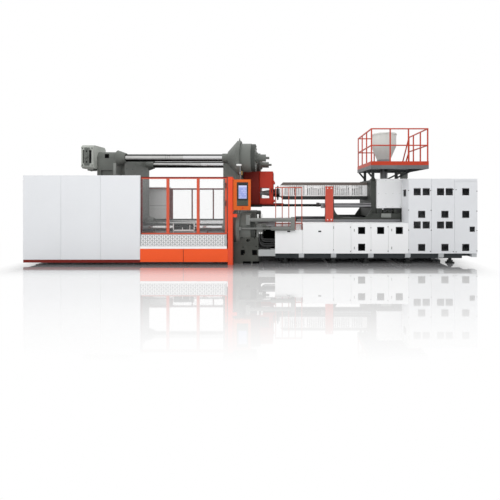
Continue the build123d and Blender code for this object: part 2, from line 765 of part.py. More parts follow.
def hmi_brackets():
    """Upper and lower pivot of the control panel, on the column."""
    pieces = []
    for z0, z1, pin0, pin1 in (
        (HMI_Z0 - 30, HMI_Z0 - FIT, HMI_Z0 - 30, HMI_Z0 + 40),
        (HMI_Z1 + FIT, HMI_Z1 + 30, HMI_Z1 - 40, HMI_Z1 + 30),
    ):
        ear = span(COLUMN_X1, HMI_PIN_X + 14, -HMI_PIN_Y - 14, -HMI_PIN_Y + 75, z0, z1)
        pieces.append(ear + bar_z(pin0, pin1, HMI_PIN_X, -HMI_PIN_Y, HMI_PIN_R))
    arm = span(COLUMN_X1, COLUMN_X1 + 130, -COVER_Y + 20, -COVER_Y + 60, 1430, 1530)
    return pieces + [arm]


def hmi_panel():
    body = span(HMI_X0, HMI_X1, -HMI_Y1, -HMI_Y0, HMI_Z0, HMI_Z1)
    right_edges = body.edges().filter_by(Axis.Z).sort_by(Axis.X)[2:]
    body = chamfer(right_edges, 16)
    x0, x1, z0, z1 = BEZEL
    body -= span(x0 - FIT, x1 + FIT, -HMI_Y1 - 1, -HMI_Y1 + 25, z0 - FIT, z1 + FIT)
    body -= bar_z(HMI_Z0 - 1, HMI_Z0 + 42, HMI_PIN_X, -HMI_PIN_Y, HMI_PIN_R + FIT)
    body -= bar_z(HMI_Z1 - 42, HMI_Z1 + 1, HMI_PIN_X, -HMI_PIN_Y, HMI_PIN_R + FIT)
    body -= bar_y(-HMI_Y1 - 1, -HMI_Y1 + 32, *STOP_PLACE, 11 + FIT)
    return body


def hmi_screen():
    x0, x1, z0, z1 = BEZEL
    plate = span(x0, x1, -HMI_Y1 - 4, -HMI_Y1 + 24, z0, z1)
    plate -= span(x0 + 48, x1 - 39, -HMI_Y1 - 5, -HMI_Y1 + 2, 1990, 2390)
    plate -= span(x0 + 30, x1 - 30, -HMI_Y1 - 5, -HMI_Y1, z0 + 20, 1930)
    for row in range(4):
        for column in range(8):
            key_x = x0 + 36 + column * HMI_KEY_STEP
            key_z = z0 + 27 + row * HMI_KEY_STEP
            plate += span(key_x, key_x + HMI_KEY, -HMI_Y1 - 6, -HMI_Y1, key_z, key_z + HMI_KEY)
    return plate


def stop_button():
    x, z = STOP_PLACE
    face = -HMI_Y1
    head = bar_y(face - 30, face - STOP_TRAVEL - 4, x, z, 21)
    head = fillet(head.edges().filter_by(GeomType.CIRCLE).sort_by(Axis.Y)[0], 8)
    return head + bar_y(face - STOP_TRAVEL - 4, face + 22, x, z, 11)


# Purge guard over the nozzle

def purge_guard():
    hood = span(GUARD_X0, GUARD_X1, -GUARD_Y, GUARD_Y, GUARD_Z0, GUARD_Z1)
    hood = chamfer(hood.edges().filter_by(Axis.Z).sort_by(Axis.Y)[:2], GUARD_WALL - 10)
    hood -= span(
        GUARD_X0 - OVER, GUARD_X1 + OVER,
        -GUARD_Y + GUARD_WALL, GUARD_Y - GUARD_WALL,
        GUARD_Z0 - OVER, GUARD_Z1 - 12,
    )
    x0, x1, z0, z1 = GUARD_WINDOW
    for side in (-1, 1):
        hood -= span(x0, x1, side * (GUARD_Y - GUARD_WALL - OVER), side * (GUARD_Y + OVER), z0, z1)
        for z in (GUARD_Z0 + 40, GUARD_Z1 - 400):
            hood += span(GUARD_X1, GUARD_X1 + 50, side * (GUARD_Y - 50), side * (GUARD_Y - 20), z, z + 90)
    return hood


def purge_panes():
    x0, x1, z0, z1 = GUARD_WINDOW
    panes = []
    for side in (-1, 1):
        y = side * (GUARD_Y - GUARD_WALL / 2)
        panes.append(span(x0 + FIT, x1 - FIT, y - SHEET, y + SHEET, z0 + FIT, z1 - FIT))
    return panes


def purge_rails():
    """Two flat rails, held by the fixed platen, that the guard slides on."""
    x0 = FLANGE_X + FLANGE_T
    top = GUARD_Z0 - GATE_GAP
    rails = []
    for side in (-1, 1):
        y0, y1 = side * (GUARD_Y - GUARD_WALL), side * (GUARD_Y - 10)
        rails.append(span(x0, GUARD_X1 + GUARD_TRAVEL + 60, y0, y1, top - PURGE_RAIL_H, top))
    return rails


def purge_shroud():
    """Fixed hood between the platen and the sliding guard."""
    x0 = FLANGE_X + FLANGE_T
    x1 = GUARD_X0 - RUN
    z0 = GUARD_Z0 - GATE_GAP
    shroud = span(x0, x1, -GUARD_Y, GUARD_Y, z0, GUARD_Z1)
    half = GUARD_Y - 30
    return shroud - span(x0 - OVER, x1 + OVER, -half, half, z0 - OVER, GUARD_Z1 - 12)


# Injection end: base, covers, cabinet

def base_sides(side):
    """Girder, lower frame rail, brackets and tie channel on one side."""
    body = span(IBASE_X0 + 10, RIGHT_X - 80, side * IGIRDER_Y0, side * IGIRDER_Y1, IBASE_Z0, IBASE_TOP)
    frame_y0 = side * (FRAME_HALF_Y - 180)
    frame_y1 = side * FRAME_HALF_Y
    body += span(FRAME_X[0] - 50, FRAME_X[-1] + 380, frame_y0, frame_y1, FRAME_Z0, IBASE_Z0)
    for x in BRACKET_X:
        body += span(x - BRACKET_HALF, x + BRACKET_HALF, frame_y0, side * (BASE_FRONT_Y - 5), 200, IBASE_Z0)
    body += span(FRAME_X[-1], BRACKET_X[-1], frame_y0, side * (FRAME_HALF_Y - 60), 220, IBASE_Z0)
    body += span(IBASE_X0 + 10, FRAME_X[0], frame_y0, side * (FRAME_HALF_Y - 20), FRAME_Z0, IBASE_Z0)
    body += span(FOOT_X1, IBASE_X0 + 10, side * (FRAME_HALF_Y - 100), frame_y1, 220, 420)
    body += span(IBASE_X0 + 10, IBASE_X0 + 110, 0, side * (FRAME_HALF_Y - 20), IBASE_Z0 - OVER, 420)
    body += span(IBASE_X0 + 10, IBASE_X0 + 30, side * (IGIRDER_Y1 - OVER), side * (FRAME_HALF_Y - 20), 419, NOTCH_Z - 40)
    for x in (NOTCH_X1, 2420, 3570, CABINET_X0 - 120):
        body += span(x, x + 60, side * IGIRDER_Y1, side * (BASE_FRONT_Y - FOLD), 1140, IBASE_TOP - 10)
    return body


def travel_cradle(side):
    """Saddle under the travel cylinder, on the first cross member of the base."""
    y = side * TRAVEL_Y
    cradle = span(IBASE_X0 + 10, IBASE_X0 + 110, y - 90, y + 90, 899, TRAVEL_Z - 50)
    return cradle - bar_x(IBASE_X0, IBASE_X0 + 120, y, TRAVEL_Z, TRAVEL_BARREL_R + FIT)


def injection_base():
    body = base_sides(-1) + base_sides(1)
    for x in FRAME_X:
        body += span(x, x + FRAME_W, -FRAME_HALF_Y, FRAME_HALF_Y, FRAME_Z0, IBASE_Z0)
    for x in (IBASE_X0 + 10, 2700, CABINET_X0 - 120):
        body += span(x, x + 100, -IGIRDER_Y0 - OVER, IGIRDER_Y0 + OVER, 500, 900)
    return body + travel_cradle(-1) + travel_cradle(1)


def levelling_feet():
    feet = []
    for x in [IBASE_X0 + 255] + FRAME_X[1:]:
        for y in (-1400, 0, 1400) if x > 2000 else (-1400, 1400):
            centre = x + FRAME_W / 2
            foot = bar_z(0, 30, centre, y, FOOT_PAD_R)
            foot += bar_z(30, 90, centre, y, 85)
            foot += bar_z(90, FRAME_Z0, centre, y, 48)
            feet.append(foot)
    return feet


def injection_way(side):
    return span(IBASE_X0 + 700, RIGHT_X - 150, side * (IGIRDER_Y0 + 60), side * (IGIRDER_Y1 - 60), IBASE_TOP, IWAY_Z)


def base_covers(side):
    pieces = []
    notched = side < 0
    first_top = NOTCH_Z if notched else IBASE_TOP
    panels = [(IBASE_X0, NOTCH_X1, first_top)]
    panels += [(x0, x1, IBASE_TOP) for x0, x1 in zip(BASE_SEAMS, BASE_SEAMS[1:])]
    for x0, x1, top in panels:
        cover = pan(x0 + SEAM, x1 - SEAM, IBASE_Z0 + 5, top, side, BASE_FRONT_Y)
        if notched:
            for slot_x in SLOT_X:
                if x0 < slot_x < x1:
                    face = -BASE_FRONT_Y
                    cover -= span(slot_x - 45, slot_x + 45, face - OVER, face + 10, SLOT_Z - 22, SLOT_Z + 22)
            for vent_x, vent_z in BASE_VENTS:
                if x0 < vent_x < x1:
                    cover -= vent_hole(vent_x, vent_z, -BASE_FRONT_Y)
        pieces.append(cover)
    return pieces


def vent_hole(x, z, face_y, size=VENT):
    half = size / 2
    return span(x - half, x + half, face_y - OVER, face_y + SHEET + 2, z - half, z + half)


def vent_grille(x, z, face_y, size=VENT):
    """Louvre insert, seated behind the hole in the sheet."""
    half = size / 2 - FIT
    rim = half + GRILLE_RIM
    plate = span(x - rim, x + rim, face_y + SHEET, face_y + SHEET + 8, z - rim, z + rim)
    step = 2 * half / GRILLE_SLOTS
    for i in range(GRILLE_SLOTS):
        z0 = z - half + (i + 0.25) * step
        plate -= span(x - half + 8, x + half - 8, face_y, face_y + 30, z0, z0 + step * 0.5)
    return plate


def side_grille():
    """Plain louvre behind the vent in the cabinet's left wall."""
    y0, y1, z0, z1 = SIDE_VENT
    x0 = CABINET_X0 + SHEET
    plate = span(x0, x0 + 8, y0 - GRILLE_RIM, y1 + GRILLE_RIM, z0 - GRILLE_RIM, z1 + GRILLE_RIM)
    step = (z1 - z0) / GRILLE_SLOTS
    for i in range(GRILLE_SLOTS):
        plate -= span(x0 - OVER, x0 + 9, y0 + 8, y1 - 8, z0 + (i + 0.25) * step, z0 + (i + 0.75) * step)
    return plate


def base_deck(side):
    """Sheet deck between the ways and the cover tops."""
    y0, y1 = side * IGIRDER_Y1, side * (BASE_FRONT_Y - FOLD)
    x0 = NOTCH_X1 if side < 0 else IBASE_X0
    return span(x0 + SEAM, CABINET_X0 - SEAM, y0, y1, IBASE_TOP - 10 + FIT, IBASE_TOP - SHEET + FIT)


def notch_shelf():
    """Recess in the front corner of the base: a shelf with its back panel."""
    shelf = span(IBASE_X0 + SEAM, NOTCH_X1 - SEAM, -BASE_FRONT_Y + FOLD, -1290, NOTCH_Z - 30, NOTCH_Z)
    shelf += span(IBASE_X0 + SEAM, NOTCH_X1 - SEAM, -1300, -1290, NOTCH_Z, IBASE_TOP)
    shelf += span(IBASE_X0 + SEAM, NOTCH_X1 - SEAM, -1290, -IGIRDER_Y1, IBASE_TOP - 30, IBASE_TOP)
    return shelf


def cabinet_box(side):
    """Side cabinet: roof, back, ends and floor, open behind its panels."""
    y0, y1 = side * CABINET_Y0, side * (BASE_FRONT_Y - PANEL_T)
    shell = span(CABINET_X0, RIGHT_X, y0, y1, IBASE_Z0, CABINET_TOP)
    shell -= span(
        CABINET_X0 + SHEET, RIGHT_X - SHEET,
        y0 + side * SHEET, y1 + side,
        IBASE_Z0 + SHEET, CABINET_TOP - SHEET,
    )
    for x in PANEL_SEAMS[1:3]:
        shell += span(x - 25, x + 25, y1 - side * 40, y1, IBASE_Z0 + 6, CABINET_TOP - OVER)
    if side < 0:
        vent_y0, vent_y1, vent_z0, vent_z1 = SIDE_VENT
        shell -= span(CABINET_X0 - OVER, CABINET_X0 + SHEET + OVER, vent_y0, vent_y1, vent_z0, vent_z1)
    return shell


def cabinet_end():
    return span(RIGHT_X - 30, RIGHT_X, -CABINET_Y0, CABINET_Y0, IBASE_TOP + FIT, CABINET_TOP - 80)


def cabinet_panels():
    """Lift-off front panels of the cabinet, with the openings of their vents."""
    panels = []
    for x0, x1 in zip(PANEL_SEAMS, PANEL_SEAMS[1:]):
        top = CABINET_TOP - 8 if x1 < RIGHT_X - 400 else CABINET_TOP - 80
        panel = pan(x0 + SEAM, x1 - SEAM, IBASE_Z0 + 5, top, -1, BASE_FRONT_Y, PANEL_T)
        for vent_x, vent_z in PANEL_VENTS:
            if x0 < vent_x < x1:
                panel -= vent_hole(vent_x, vent_z, -BASE_FRONT_Y)
        if x1 == RIGHT_X:
            panel -= vent_hole(*SMALL_VENT, -BASE_FRONT_Y, SMALL_VENT_SIZE)
        panels.append(panel)
    return panels


def base_fence():
    """Guard rail that stands on the shelf of the base."""
    y = -1420
    xs = [700, 902, 1105, 1307, 1510]
    fence = span(xs[0] - 15, xs[-1] + 15, y - 15, y + 15, 2320, 2350)
    fence += span(xs[0] - 15, xs[-1] + 15, y - 15, y + 15, 1210, 1240)
    for x in xs:
        fence += span(x - 13, x + 13, y - 13, y + 13, NOTCH_Z, 2330)
    return fence


# Injection unit on its carriage

def carriage_gussets(side):
    """Quarter-round web behind the upright and wedge before the front plate."""
    y0, y1 = side * (UPRIGHT_HALF_Y - GUSSET_T), side * UPRIGHT_HALF_Y
    x1, z1 = UPRIGHT_X1 + GUSSET_R, BEAM_TOP + GUSSET_R
    web = span(UPRIGHT_X1 - OVER, x1, y0, y1, BEAM_TOP - OVER, z1)
    web -= bar_y(-UPRIGHT_HALF_Y - OVER, UPRIGHT_HALF_Y + OVER, x1, z1, GUSSET_R)
    plane = Plane(origin=(0, min(y0, y1), 0), x_dir=(1, 0, 0), z_dir=(0, -1, 0))
    wedge = plane * Polygon(
        (FRONT_PLATE_X0 + OVER, BEAM_TOP - OVER), (FRONT_PLATE_X0 - WEDGE_L, BEAM_TOP - OVER),
        (FRONT_PLATE_X0 + OVER, BEAM_TOP + WEDGE_H),
        align=None,
    )
    return web, extrude(wedge, amount=-GUSSET_T)


def carriage():
    body = None
    for side in (-1, 1):
        beam_y0, beam_y1 = side * (IGIRDER_Y0 + 50), side * (IGIRDER_Y1 - 50)
        beam = span(UPRIGHT_X0, CARRIAGE_X1, beam_y0, beam_y1, IWAY_Z + FIT, BEAM_TOP)
        body = beam if body is None else body + beam
        for web in carriage_gussets(side):
            body += web
    body += span(FRONT_PLATE_X0, CARRIAGE_X1, -IGIRDER_Y1 + 50, IGIRDER_Y1 - 50, BEAM_TOP - OVER, CARRIAGE_TOP)
    body -= span(HOPPER_X - 180, CARRIAGE_X1 - 150, -420, 420, BEAM_TOP - 2 * OVER, CARRIAGE_TOP + OVER)
    upright = span(UPRIGHT_X0, UPRIGHT_X1, -UPRIGHT_HALF_Y, UPRIGHT_HALF_Y, BEAM_TOP - OVER, SLEEVE_Z0 - FIT)
    upright -= span(UPRIGHT_X0 - OVER, UPRIGHT_X1 + OVER, -560, 560, BEAM_TOP + 120, SLEEVE_Z0 - 110)
    body += upright
    plate = span(FRONT_PLATE_X0, FRONT_PLATE_X1, -800, 800, BEAM_TOP - OVER, FRONT_PLATE_TOP)
    plate = chamfer(plate.edges().filter_by(Axis.X).group_by(Axis.Z)[-1], 30)
    body += plate
    body -= bar_x(FRONT_PLATE_X0 - OVER, FRONT_PLATE_X1 + OVER, 0, AXIS_Z, BARREL_R + FIT)
    for side in (-1, 1):
        y = side * CARRIAGE_CYL_Y
        body -= bar_x(UPRIGHT_X0 - OVER, UPRIGHT_X1 + OVER, y, CARRIAGE_CYL_Z, CARRIAGE_CYL_R + FIT)
    return body


def barrel():
    tube = bar_x(BARREL_X0, BARREL_X1, 0, AXIS_Z, BARREL_R)
    tube += cone_x(NOZZLE_TIP_X + 330, BARREL_X0, 0, AXIS_Z, 70, BARREL_R)
    tube -= bar_x(BARREL_X0 - 60, BARREL_X1 + OVER, 0, AXIS_Z, BARREL_BORE_R)
    tube -= bar_z(AXIS_Z, AXIS_Z + BARREL_R + OVER, HOPPER_X, 0, HOPPER_FEED_R)
    return tube


def nozzle():
    body = bar_x(NOZZLE_TIP_X + 40, NOZZLE_TIP_X + 330, 0, AXIS_Z, 55)
    body += cone_x(NOZZLE_TIP_X, NOZZLE_TIP_X + 40, 0, AXIS_Z, 26, 55)
    body += bar_x(NOZZLE_TIP_X + 230, NOZZLE_TIP_X + 330, 0, AXIS_Z, 70)
    body -= bar_x(NOZZLE_TIP_X - 1, NOZZLE_TIP_X + 331, 0, AXIS_Z, 8)
    return body


def heater_bands():
    bands = []
    for i in range(7):
        x = HEATER_X0 + i * HEATER_STEP
        ring = bar_x(x, x + HEATER_L, 0, AXIS_Z, BARREL_R + 22)
        ring -= bar_x(x - OVER, x + HEATER_L + OVER, 0, AXIS_Z, BARREL_R + FIT)
        ring += span(x + 130, x + 210, -40, 40, AXIS_Z + BARREL_R + 18, AXIS_Z + BARREL_R + 55)
        bands.append(ring)
    return bands


def barrel_cover():
    """Perforated sheet cover over barrel and heater bands, with a chamfered nose."""
    x0, x1, half, z0, z1 = SLEEVE_X0, SLEEVE_X1, SLEEVE_HALF_Y, SLEEVE_Z0, SLEEVE_Z1
    shell = span(x0, x1, -half, half, z0, z1)
    shell = chamfer(shell.edges().filter_by(Axis.Y).group_by(Axis.X)[0], 110)
    shell -= span(x0 + 120, x1 + OVER, -half + 6, half - 6, z0 - OVER, z1 - 6)
    shell -= bar_x(x0 - OVER, x0 + 200, 0, AXIS_Z, BARREL_R + 30)
    count = int((x1 - x0 - 260) / SLEEVE_PITCH)
    for i in range(count):
        x = x0 + 170 + i * SLEEVE_PITCH
        if i % 12 == 11:
            continue
        shell -= span(x, x + SLEEVE_SLOT, -half - OVER, half + OVER, z0 + 150, z1 - 110)
    return shell


def barrel_shield():
    """Orange upright beside the barrel, on two lugs of the carriage upright."""
    y0, y1 = -SHIELD_Y, -SHIELD_Y + SHIELD_T
    shield = span(SHIELD_X0, SHIELD_X1, y0, y1, IBASE_TOP + 15, 2380)
    for z in (1450, 1840):
        shield += span(UPRIGHT_X0, SHIELD_X1, y1, -UPRIGHT_HALF_Y, z, z + 90)
    return shield


def injection_cylinders():
    pieces = []
    for side in (-1, 1):
        y = side * INJECT_Y
        tube = bar_x(FRONT_PLATE_X1, INJECT_X1, y, AXIS_Z, INJECT_R)
        tube += span(INJECT_X1 - 90, INJECT_X1, y - 150, y + 150, AXIS_Z - 150, AXIS_Z + 150)
        tube -= bar_x(FRONT_PLATE_X1 + INJECT_HEAD, INJECT_X1 - 90, y, AXIS_Z, INJECT_BORE_R)
        tube -= bar_x(INJECT_X1 - 150, INJECT_X1 + OVER, y, AXIS_Z, INJECT_ROD_R + RUN)
        pieces.append(tube)
    return pieces


def crosshead():
    x1 = CROSSHEAD_X0 + CROSSHEAD_T
    body = span(CROSSHEAD_X0, x1, -760, 760, AXIS_Z - 230, AXIS_Z + 230)
    body = chamfer(body.edges().filter_by(Axis.X), 90)
    body -= bar_x(CROSSHEAD_X0 - 1, x1 + 1, 0, AXIS_Z, SCREW_R + FIT)
    for side in (-1, 1):
        y = side * INJECT_Y
        piston_x = FRONT_PLATE_X1 + INJECT_HEAD + 35
        body += bar_x(piston_x + INJECT_HEAD, CROSSHEAD_X0, y, AXIS_Z, INJECT_ROD_R)
        body += bar_x(piston_x, piston_x + INJECT_HEAD, y, AXIS_Z, INJECT_BORE_R - FIT)
        body += span(CROSSHEAD_X0 + 20, x1 - 20, side * 560, side * 740, CARRIAGE_TOP + FIT, AXIS_Z - 220)
    return body


def screw_motor():
    x0 = CROSSHEAD_X0 + CROSSHEAD_T
    motor = bar_x(x0, x0 + 90, 0, AXIS_Z, 220)
    motor += bar_x(x0 + 90, x0 + 430, 0, AXIS_Z, 190)
    motor += bar_x(x0 + 430, x0 + 460, 0, AXIS_Z, 120)
    motor -= bar_x(x0 - 1, x0 + 121, 0, AXIS_Z, SCREW_R + RUN)
    return motor


def screw():
    """Screw with its tip, flight and driven end; the flight is cut as rings."""
    x1 = CROSSHEAD_X0 + CROSSHEAD_T + 118
    tip_x = BARREL_X0 - 20
    body = bar_x(tip_x + 90, x1, 0, AXIS_Z, SCREW_R)
    body += cone_x(tip_x, tip_x + 90, 0, AXIS_Z, 12, SCREW_R - 10)
    return body


def carriage_barrel(side):
    y = side * CARRIAGE_CYL_Y
    x0 = CARRIAGE_CYL_X0
    body = bar_x(x0, FRONT_PLATE_X0, y, CARRIAGE_CYL_Z, CARRIAGE_CYL_R)
    body += span(x0, x0 + 110, y - 75, y + 75, CARRIAGE_CYL_Z - 75, CARRIAGE_CYL_Z + 75)
    body -= bar_x(x0 + 80, FRONT_PLATE_X0 - 60, y, CARRIAGE_CYL_Z, CARRIAGE_CYL_BORE_R)
    body -= bar_x(x0 - OVER, x0 + 81, y, CARRIAGE_CYL_Z, CARRIAGE_ROD_R + RUN)
    return body


def carriage_rod(side):
    y = side * CARRIAGE_CYL_Y
    x0 = FLANGE_X + FLANGE_T
    piston_x = CARRIAGE_CYL_X0 + 350
    rod = bar_x(x0, piston_x, y, CARRIAGE_CYL_Z, CARRIAGE_ROD_R)
    rod += bar_x(piston_x, piston_x + 60, y, CARRIAGE_CYL_Z, CARRIAGE_CYL_BORE_R - FIT)
    rod += bar_x(x0, 230, y, CARRIAGE_CYL_Z, 40)
    rod += bar_x(x0, x0 + 60, y, CARRIAGE_CYL_Z, 90)
    return rod


def unit_cover():
    """Sheet hood over the injection cylinders, open to the rear and below."""
    shell = span(UNIT_X0, UNIT_X1, -UNIT_HALF_Y, UNIT_HALF_Y, UNIT_Z0, UNIT_TOP)
    shell -= span(
        UNIT_X0 + SHEET, UNIT_X1 + 1,
        -UNIT_HALF_Y + SHEET, UNIT_HALF_Y - SHEET,
        UNIT_Z0 - 1, UNIT_TOP - SHEET,
    )
    shell -= bar_x(UNIT_X0 - 1, UNIT_X0 + 10, 0, AXIS_Z, BARREL_R + 4)
    for side in (-1, 1):
        shell -= bar_x(UNIT_X0 - 1, UNIT_X0 + 10, side * INJECT_Y, AXIS_Z, INJECT_R + 4)
    shell -= bar_z(UNIT_TOP - 10, UNIT_TOP + 1, HOPPER_X, 0, HOPPER_OUT_R + 1)
    return shell


def hopper():
    """Hopper with its rim and the ears and pin of the lid hinge."""
    height = HOPPER_Z1 - HOPPER_Z0
    middle = Pos(HOPPER_X, 0, (HOPPER_Z0 + HOPPER_Z1) / 2)
    outer = bar_z(HOPPER_Z1, HOPPER_TOP, HOPPER_X, 0, HOPPER_R)
    outer += middle * Cone(HOPPER_FOOT_R, HOPPER_R, height)
    outer += bar_z(HOPPER_TOP - 30, HOPPER_TOP, HOPPER_X, 0, HOPPER_R + HOPPER_RIM)
    inner = bar_z(HOPPER_Z1, HOPPER_TOP + OVER, HOPPER_X, 0, HOPPER_R - HOPPER_WALL)
    inner += middle * Cone(HOPPER_FOOT_R - HOPPER_WALL, HOPPER_R - HOPPER_WALL, height + 2 * OVER)
    body = outer - inner
    reach = LID_HINGE_HALF + 14
    for side in (-1, 1):
        x0, x1 = HOPPER_X + side * (LID_HINGE_HALF + OVER), HOPPER_X + side * reach
        ear_y = HOPPER_R + HOPPER_RIM
        body += span(x0, x1, ear_y - 12, LID_HINGE_Y + HINGE_R, HOPPER_TOP - 28, HOPPER_TOP)
        body += span(x0, x1, ear_y + 2, LID_HINGE_Y + HINGE_R, HOPPER_TOP - OVER, HOPPER_TOP + 12)
    return body + bar_x(HOPPER_X - reach, HOPPER_X + reach, LID_HINGE_Y, HOPPER_TOP, LID_PIN_R)


def hopper_throat():
    z0 = AXIS_Z + BARREL_R + FIT
    body = bar_z(z0, HOPPER_Z0 - 120, HOPPER_X, 0, HOPPER_OUT_R - 6)
    body += bar_z(HOPPER_Z0 - 160, HOPPER_Z0, HOPPER_X, 0, HOPPER_FOOT_R + 15)
    body += bar_z(DECK_Z1 + 4, DECK_Z1 + 34, HOPPER_X, 0, HOPPER_FOOT_R - 10)
    body -= bar_z(z0 - OVER, HOPPER_Z0 + OVER, HOPPER_X, 0, HOPPER_FEED_R)
    saddle = bar_x(HOPPER_X - 300, HOPPER_X + 300, 0, AXIS_Z, BARREL_R + FIT)
    return body - saddle


def hopper_lid():
    lid = bar_z(HOPPER_TOP + FIT, HOPPER_TOP + 16, HOPPER_X, 0, HOPPER_R + HOPPER_RIM - 2)
    half = LID_HINGE_HALF
    lid += span(HOPPER_X - half, HOPPER_X + half, HOPPER_R - 40, LID_HINGE_Y, HOPPER_TOP + FIT, HOPPER_TOP + 20)
    lid += bar_x(HOPPER_X - half, HOPPER_X + half, LID_HINGE_Y, HOPPER_TOP, HINGE_R)
    return lid - bar_x(HOPPER_X - half - OVER, HOPPER_X + half + OVER, LID_HINGE_Y, HOPPER_TOP, LID_PIN_R + FIT)


def platform():
    deck = span(DECK_X0, DECK_X1, DECK_Y0, DECK_Y1, DECK_Z0, DECK_Z1)
    bay_x0, bay_x1 = DECK_X0 + 60, DECK_X1 - 60
    mid = (bay_x0 + bay_x1) / 2
    for x0, x1 in ((bay_x0, mid - 30), (mid + 30, bay_x1)):
        deck -= span(x0, x1, DECK_Y0 + 60, DECK_Y1 - 60, DECK_Z0 - OVER, DECK_Z1 - 12)
    deck -= bar_z(DECK_Z0 - OVER, DECK_Z1 + OVER, HOPPER_X, 0, HOPPER_OUT_R + 20)
    return deck


def toe_boards():
    """Toe boards round the deck, with a gap where the ladder comes up."""
    inner = span(
        DECK_X0 + RAIL_INSET, DECK_X1 - RAIL_INSET,
        DECK_Y0 + RAIL_INSET, DECK_Y1 - RAIL_INSET,
        DECK_Z1 - OVER, TOE_Z + OVER,
    )
    frame = span(DECK_X0, DECK_X1, DECK_Y0, DECK_Y1, DECK_Z1, TOE_Z) - inner
    return frame - span(DECK_X1 - 475, DECK_X1 + OVER, RAIL_SIDE_Y[-1] + 60, DECK_Y1 + OVER, DECK_Z1, TOE_Z + OVER)


def post_z(x, y, z0, z1):
    return span(x, x + RAIL_TUBE, y, y + RAIL_TUBE, z0, z1)


def platform_rails():
    """Rails on three sides, and the two handrails of the ladder at the rear."""
    y0 = DECK_Y0 + RAIL_INSET
    y1 = DECK_Y1 - RAIL_TUBE - RAIL_INSET
    x0 = DECK_X0 + RAIL_INSET
    x1 = DECK_X1 - RAIL_TUBE - RAIL_INSET
    rails = post_z(x0, y0, DECK_Z1, RAIL_TOP_Z)
    for x in RAIL_POST_X + [x1]:
        rails += post_z(x, y0, DECK_Z1, RAIL_TOP_Z)
    for z in (RAIL_TOP_Z, RAIL_MID_Z):
        rails += span(x0, x1 + RAIL_TUBE, y0, y0 + RAIL_TUBE, z - RAIL_TUBE, z)
        rails += span(x0, x0 + RAIL_TUBE, y0, y1 + RAIL_TUBE, z - RAIL_TUBE, z)
        rails += span(x1, x1 + RAIL_TUBE, y0, RAIL_SIDE_Y[-1] + RAIL_TUBE, z - RAIL_TUBE, z)
        rails += span(x0, RAIL_POST_X[0], y1, y1 + RAIL_TUBE, z - RAIL_TUBE, z)
        start = (x1 + RAIL_TUBE / 2, RAIL_SIDE_Y[-1] + RAIL_TUBE / 2, z - RAIL_TUBE / 2)
        end = (x1 - 0.2 * (z - DECK_Z1) + 40, DECK_Y1 - 30, DECK_Z1 - 20)
        rails += strut(start, end, RAIL_TUBE)
    for i in (1, 2, 3):
        rails += post_z(x0, y0 + i * (y1 - y0) / 3, DECK_Z1, RAIL_TOP_Z)
    for y in RAIL_SIDE_Y:
        rails += post_z(x1, y, DECK_Z1, RAIL_TOP_Z)
    rails += post_z(RAIL_POST_X[0], y1, DECK_Z1, RAIL_TOP_Z)
    return rails - span(DECK_X0, DECK_X1, DECK_Y0, DECK_Y1 + 100, DECK_Z0, DECK_Z1)


def platform_legs():
    """Legs on the front plate and the unit cover, with slanted braces under the deck."""
    legs = []
    for y in LEG_Y:
        for x in LEG_X:
            foot_z = FRONT_PLATE_TOP if x < FRONT_PLATE_X1 else UNIT_TOP
            leg = span(x, x + LEG, y, y + LEG, foot_z, DECK_Z0)
            leg += span(x - 25, x + LEG + 25, y - 25, y + LEG + 25, foot_z, foot_z + 16)
            if x < FRONT_PLATE_X1:
                leg += strut((x - 190, y + LEG / 2, DECK_Z0 + 30), (x + LEG / 2, y + LEG / 2, foot_z + 70), 50)
            else:
                leg += strut((x + 620, y + LEG / 2, DECK_Z0 + 30), (x + LEG / 2 + 10, y + LEG / 2, foot_z + 40), 50)
            legs.append(leg - span(DECK_X0, DECK_X1, DECK_Y0, DECK_Y1, DECK_Z0, DECK_Z1))
    return legs


# Hydraulic hoses between foot and injection base

def hose(points, r):
    radii = []
    for before, corner, after in zip(points, points[1:], points[2:]):
        first = Vector(*corner) - Vector(*before)
        second = Vector(*after) - Vector(*corner)
        turn = math.radians(first.get_angle(second))
        radii.append(0.45 * min(first.length, second.length) / math.tan(turn / 2))
    path = FilletPolyline(*points, radius=radii)
    start = Plane(origin=path @ 0, z_dir=path % 0)
    return sweep(start * Circle(r), path=path)


def hose_block():
    """Block whose leg stands in the front cylinder bore of the foot, with the hoses below it."""
    block = span(DROP_X[0] - 90, DROP_X[1] + 30, *DROP_BLOCK_Y, DROP_TOP, DROP_TOP + 220)
    leg = span(DROP_X[0] - 90, FOOT_X1, *DROP_BLOCK_Y, FOOT_TOP - 250, DROP_TOP + OVER)
    leg &= bar_x(DROP_X[0] - 90, FOOT_X1, -BAR_Y, AXIS_Z - BAR_DZ, CYLINDER_R)
    return block + leg


def drop_hose(x, y, low):
    """Hose that drops out of the block and bends round into the end sheet of the base."""
    return hose([(x, y, DROP_TOP), (x, y, low), (IBASE_X0 + 10, y, low)], DROP_HOSE_R)


def hoses():
    pieces = []
    for x, low in zip(DROP_X, DROP_LOW):
        pieces += [drop_hose(x, y, low + step) for y, step in zip(DROP_Y, DROP_STEPS)]
    for y, z0, z1 in HOSE_ROWS:
        x0, x1 = FOOT_X1, IBASE_X0 + 10
        points = [
            (x0, y, z0), (x0 + 110, y, z0), (x0 + 210, y + 20, z0 - 110),
            (x0 + 330, y + 20, z0 - 110), (x0 + 420, y, z1), (x1, y, z1),
        ]
        pieces.append(hose(points, HOSE_R))
    return pieces


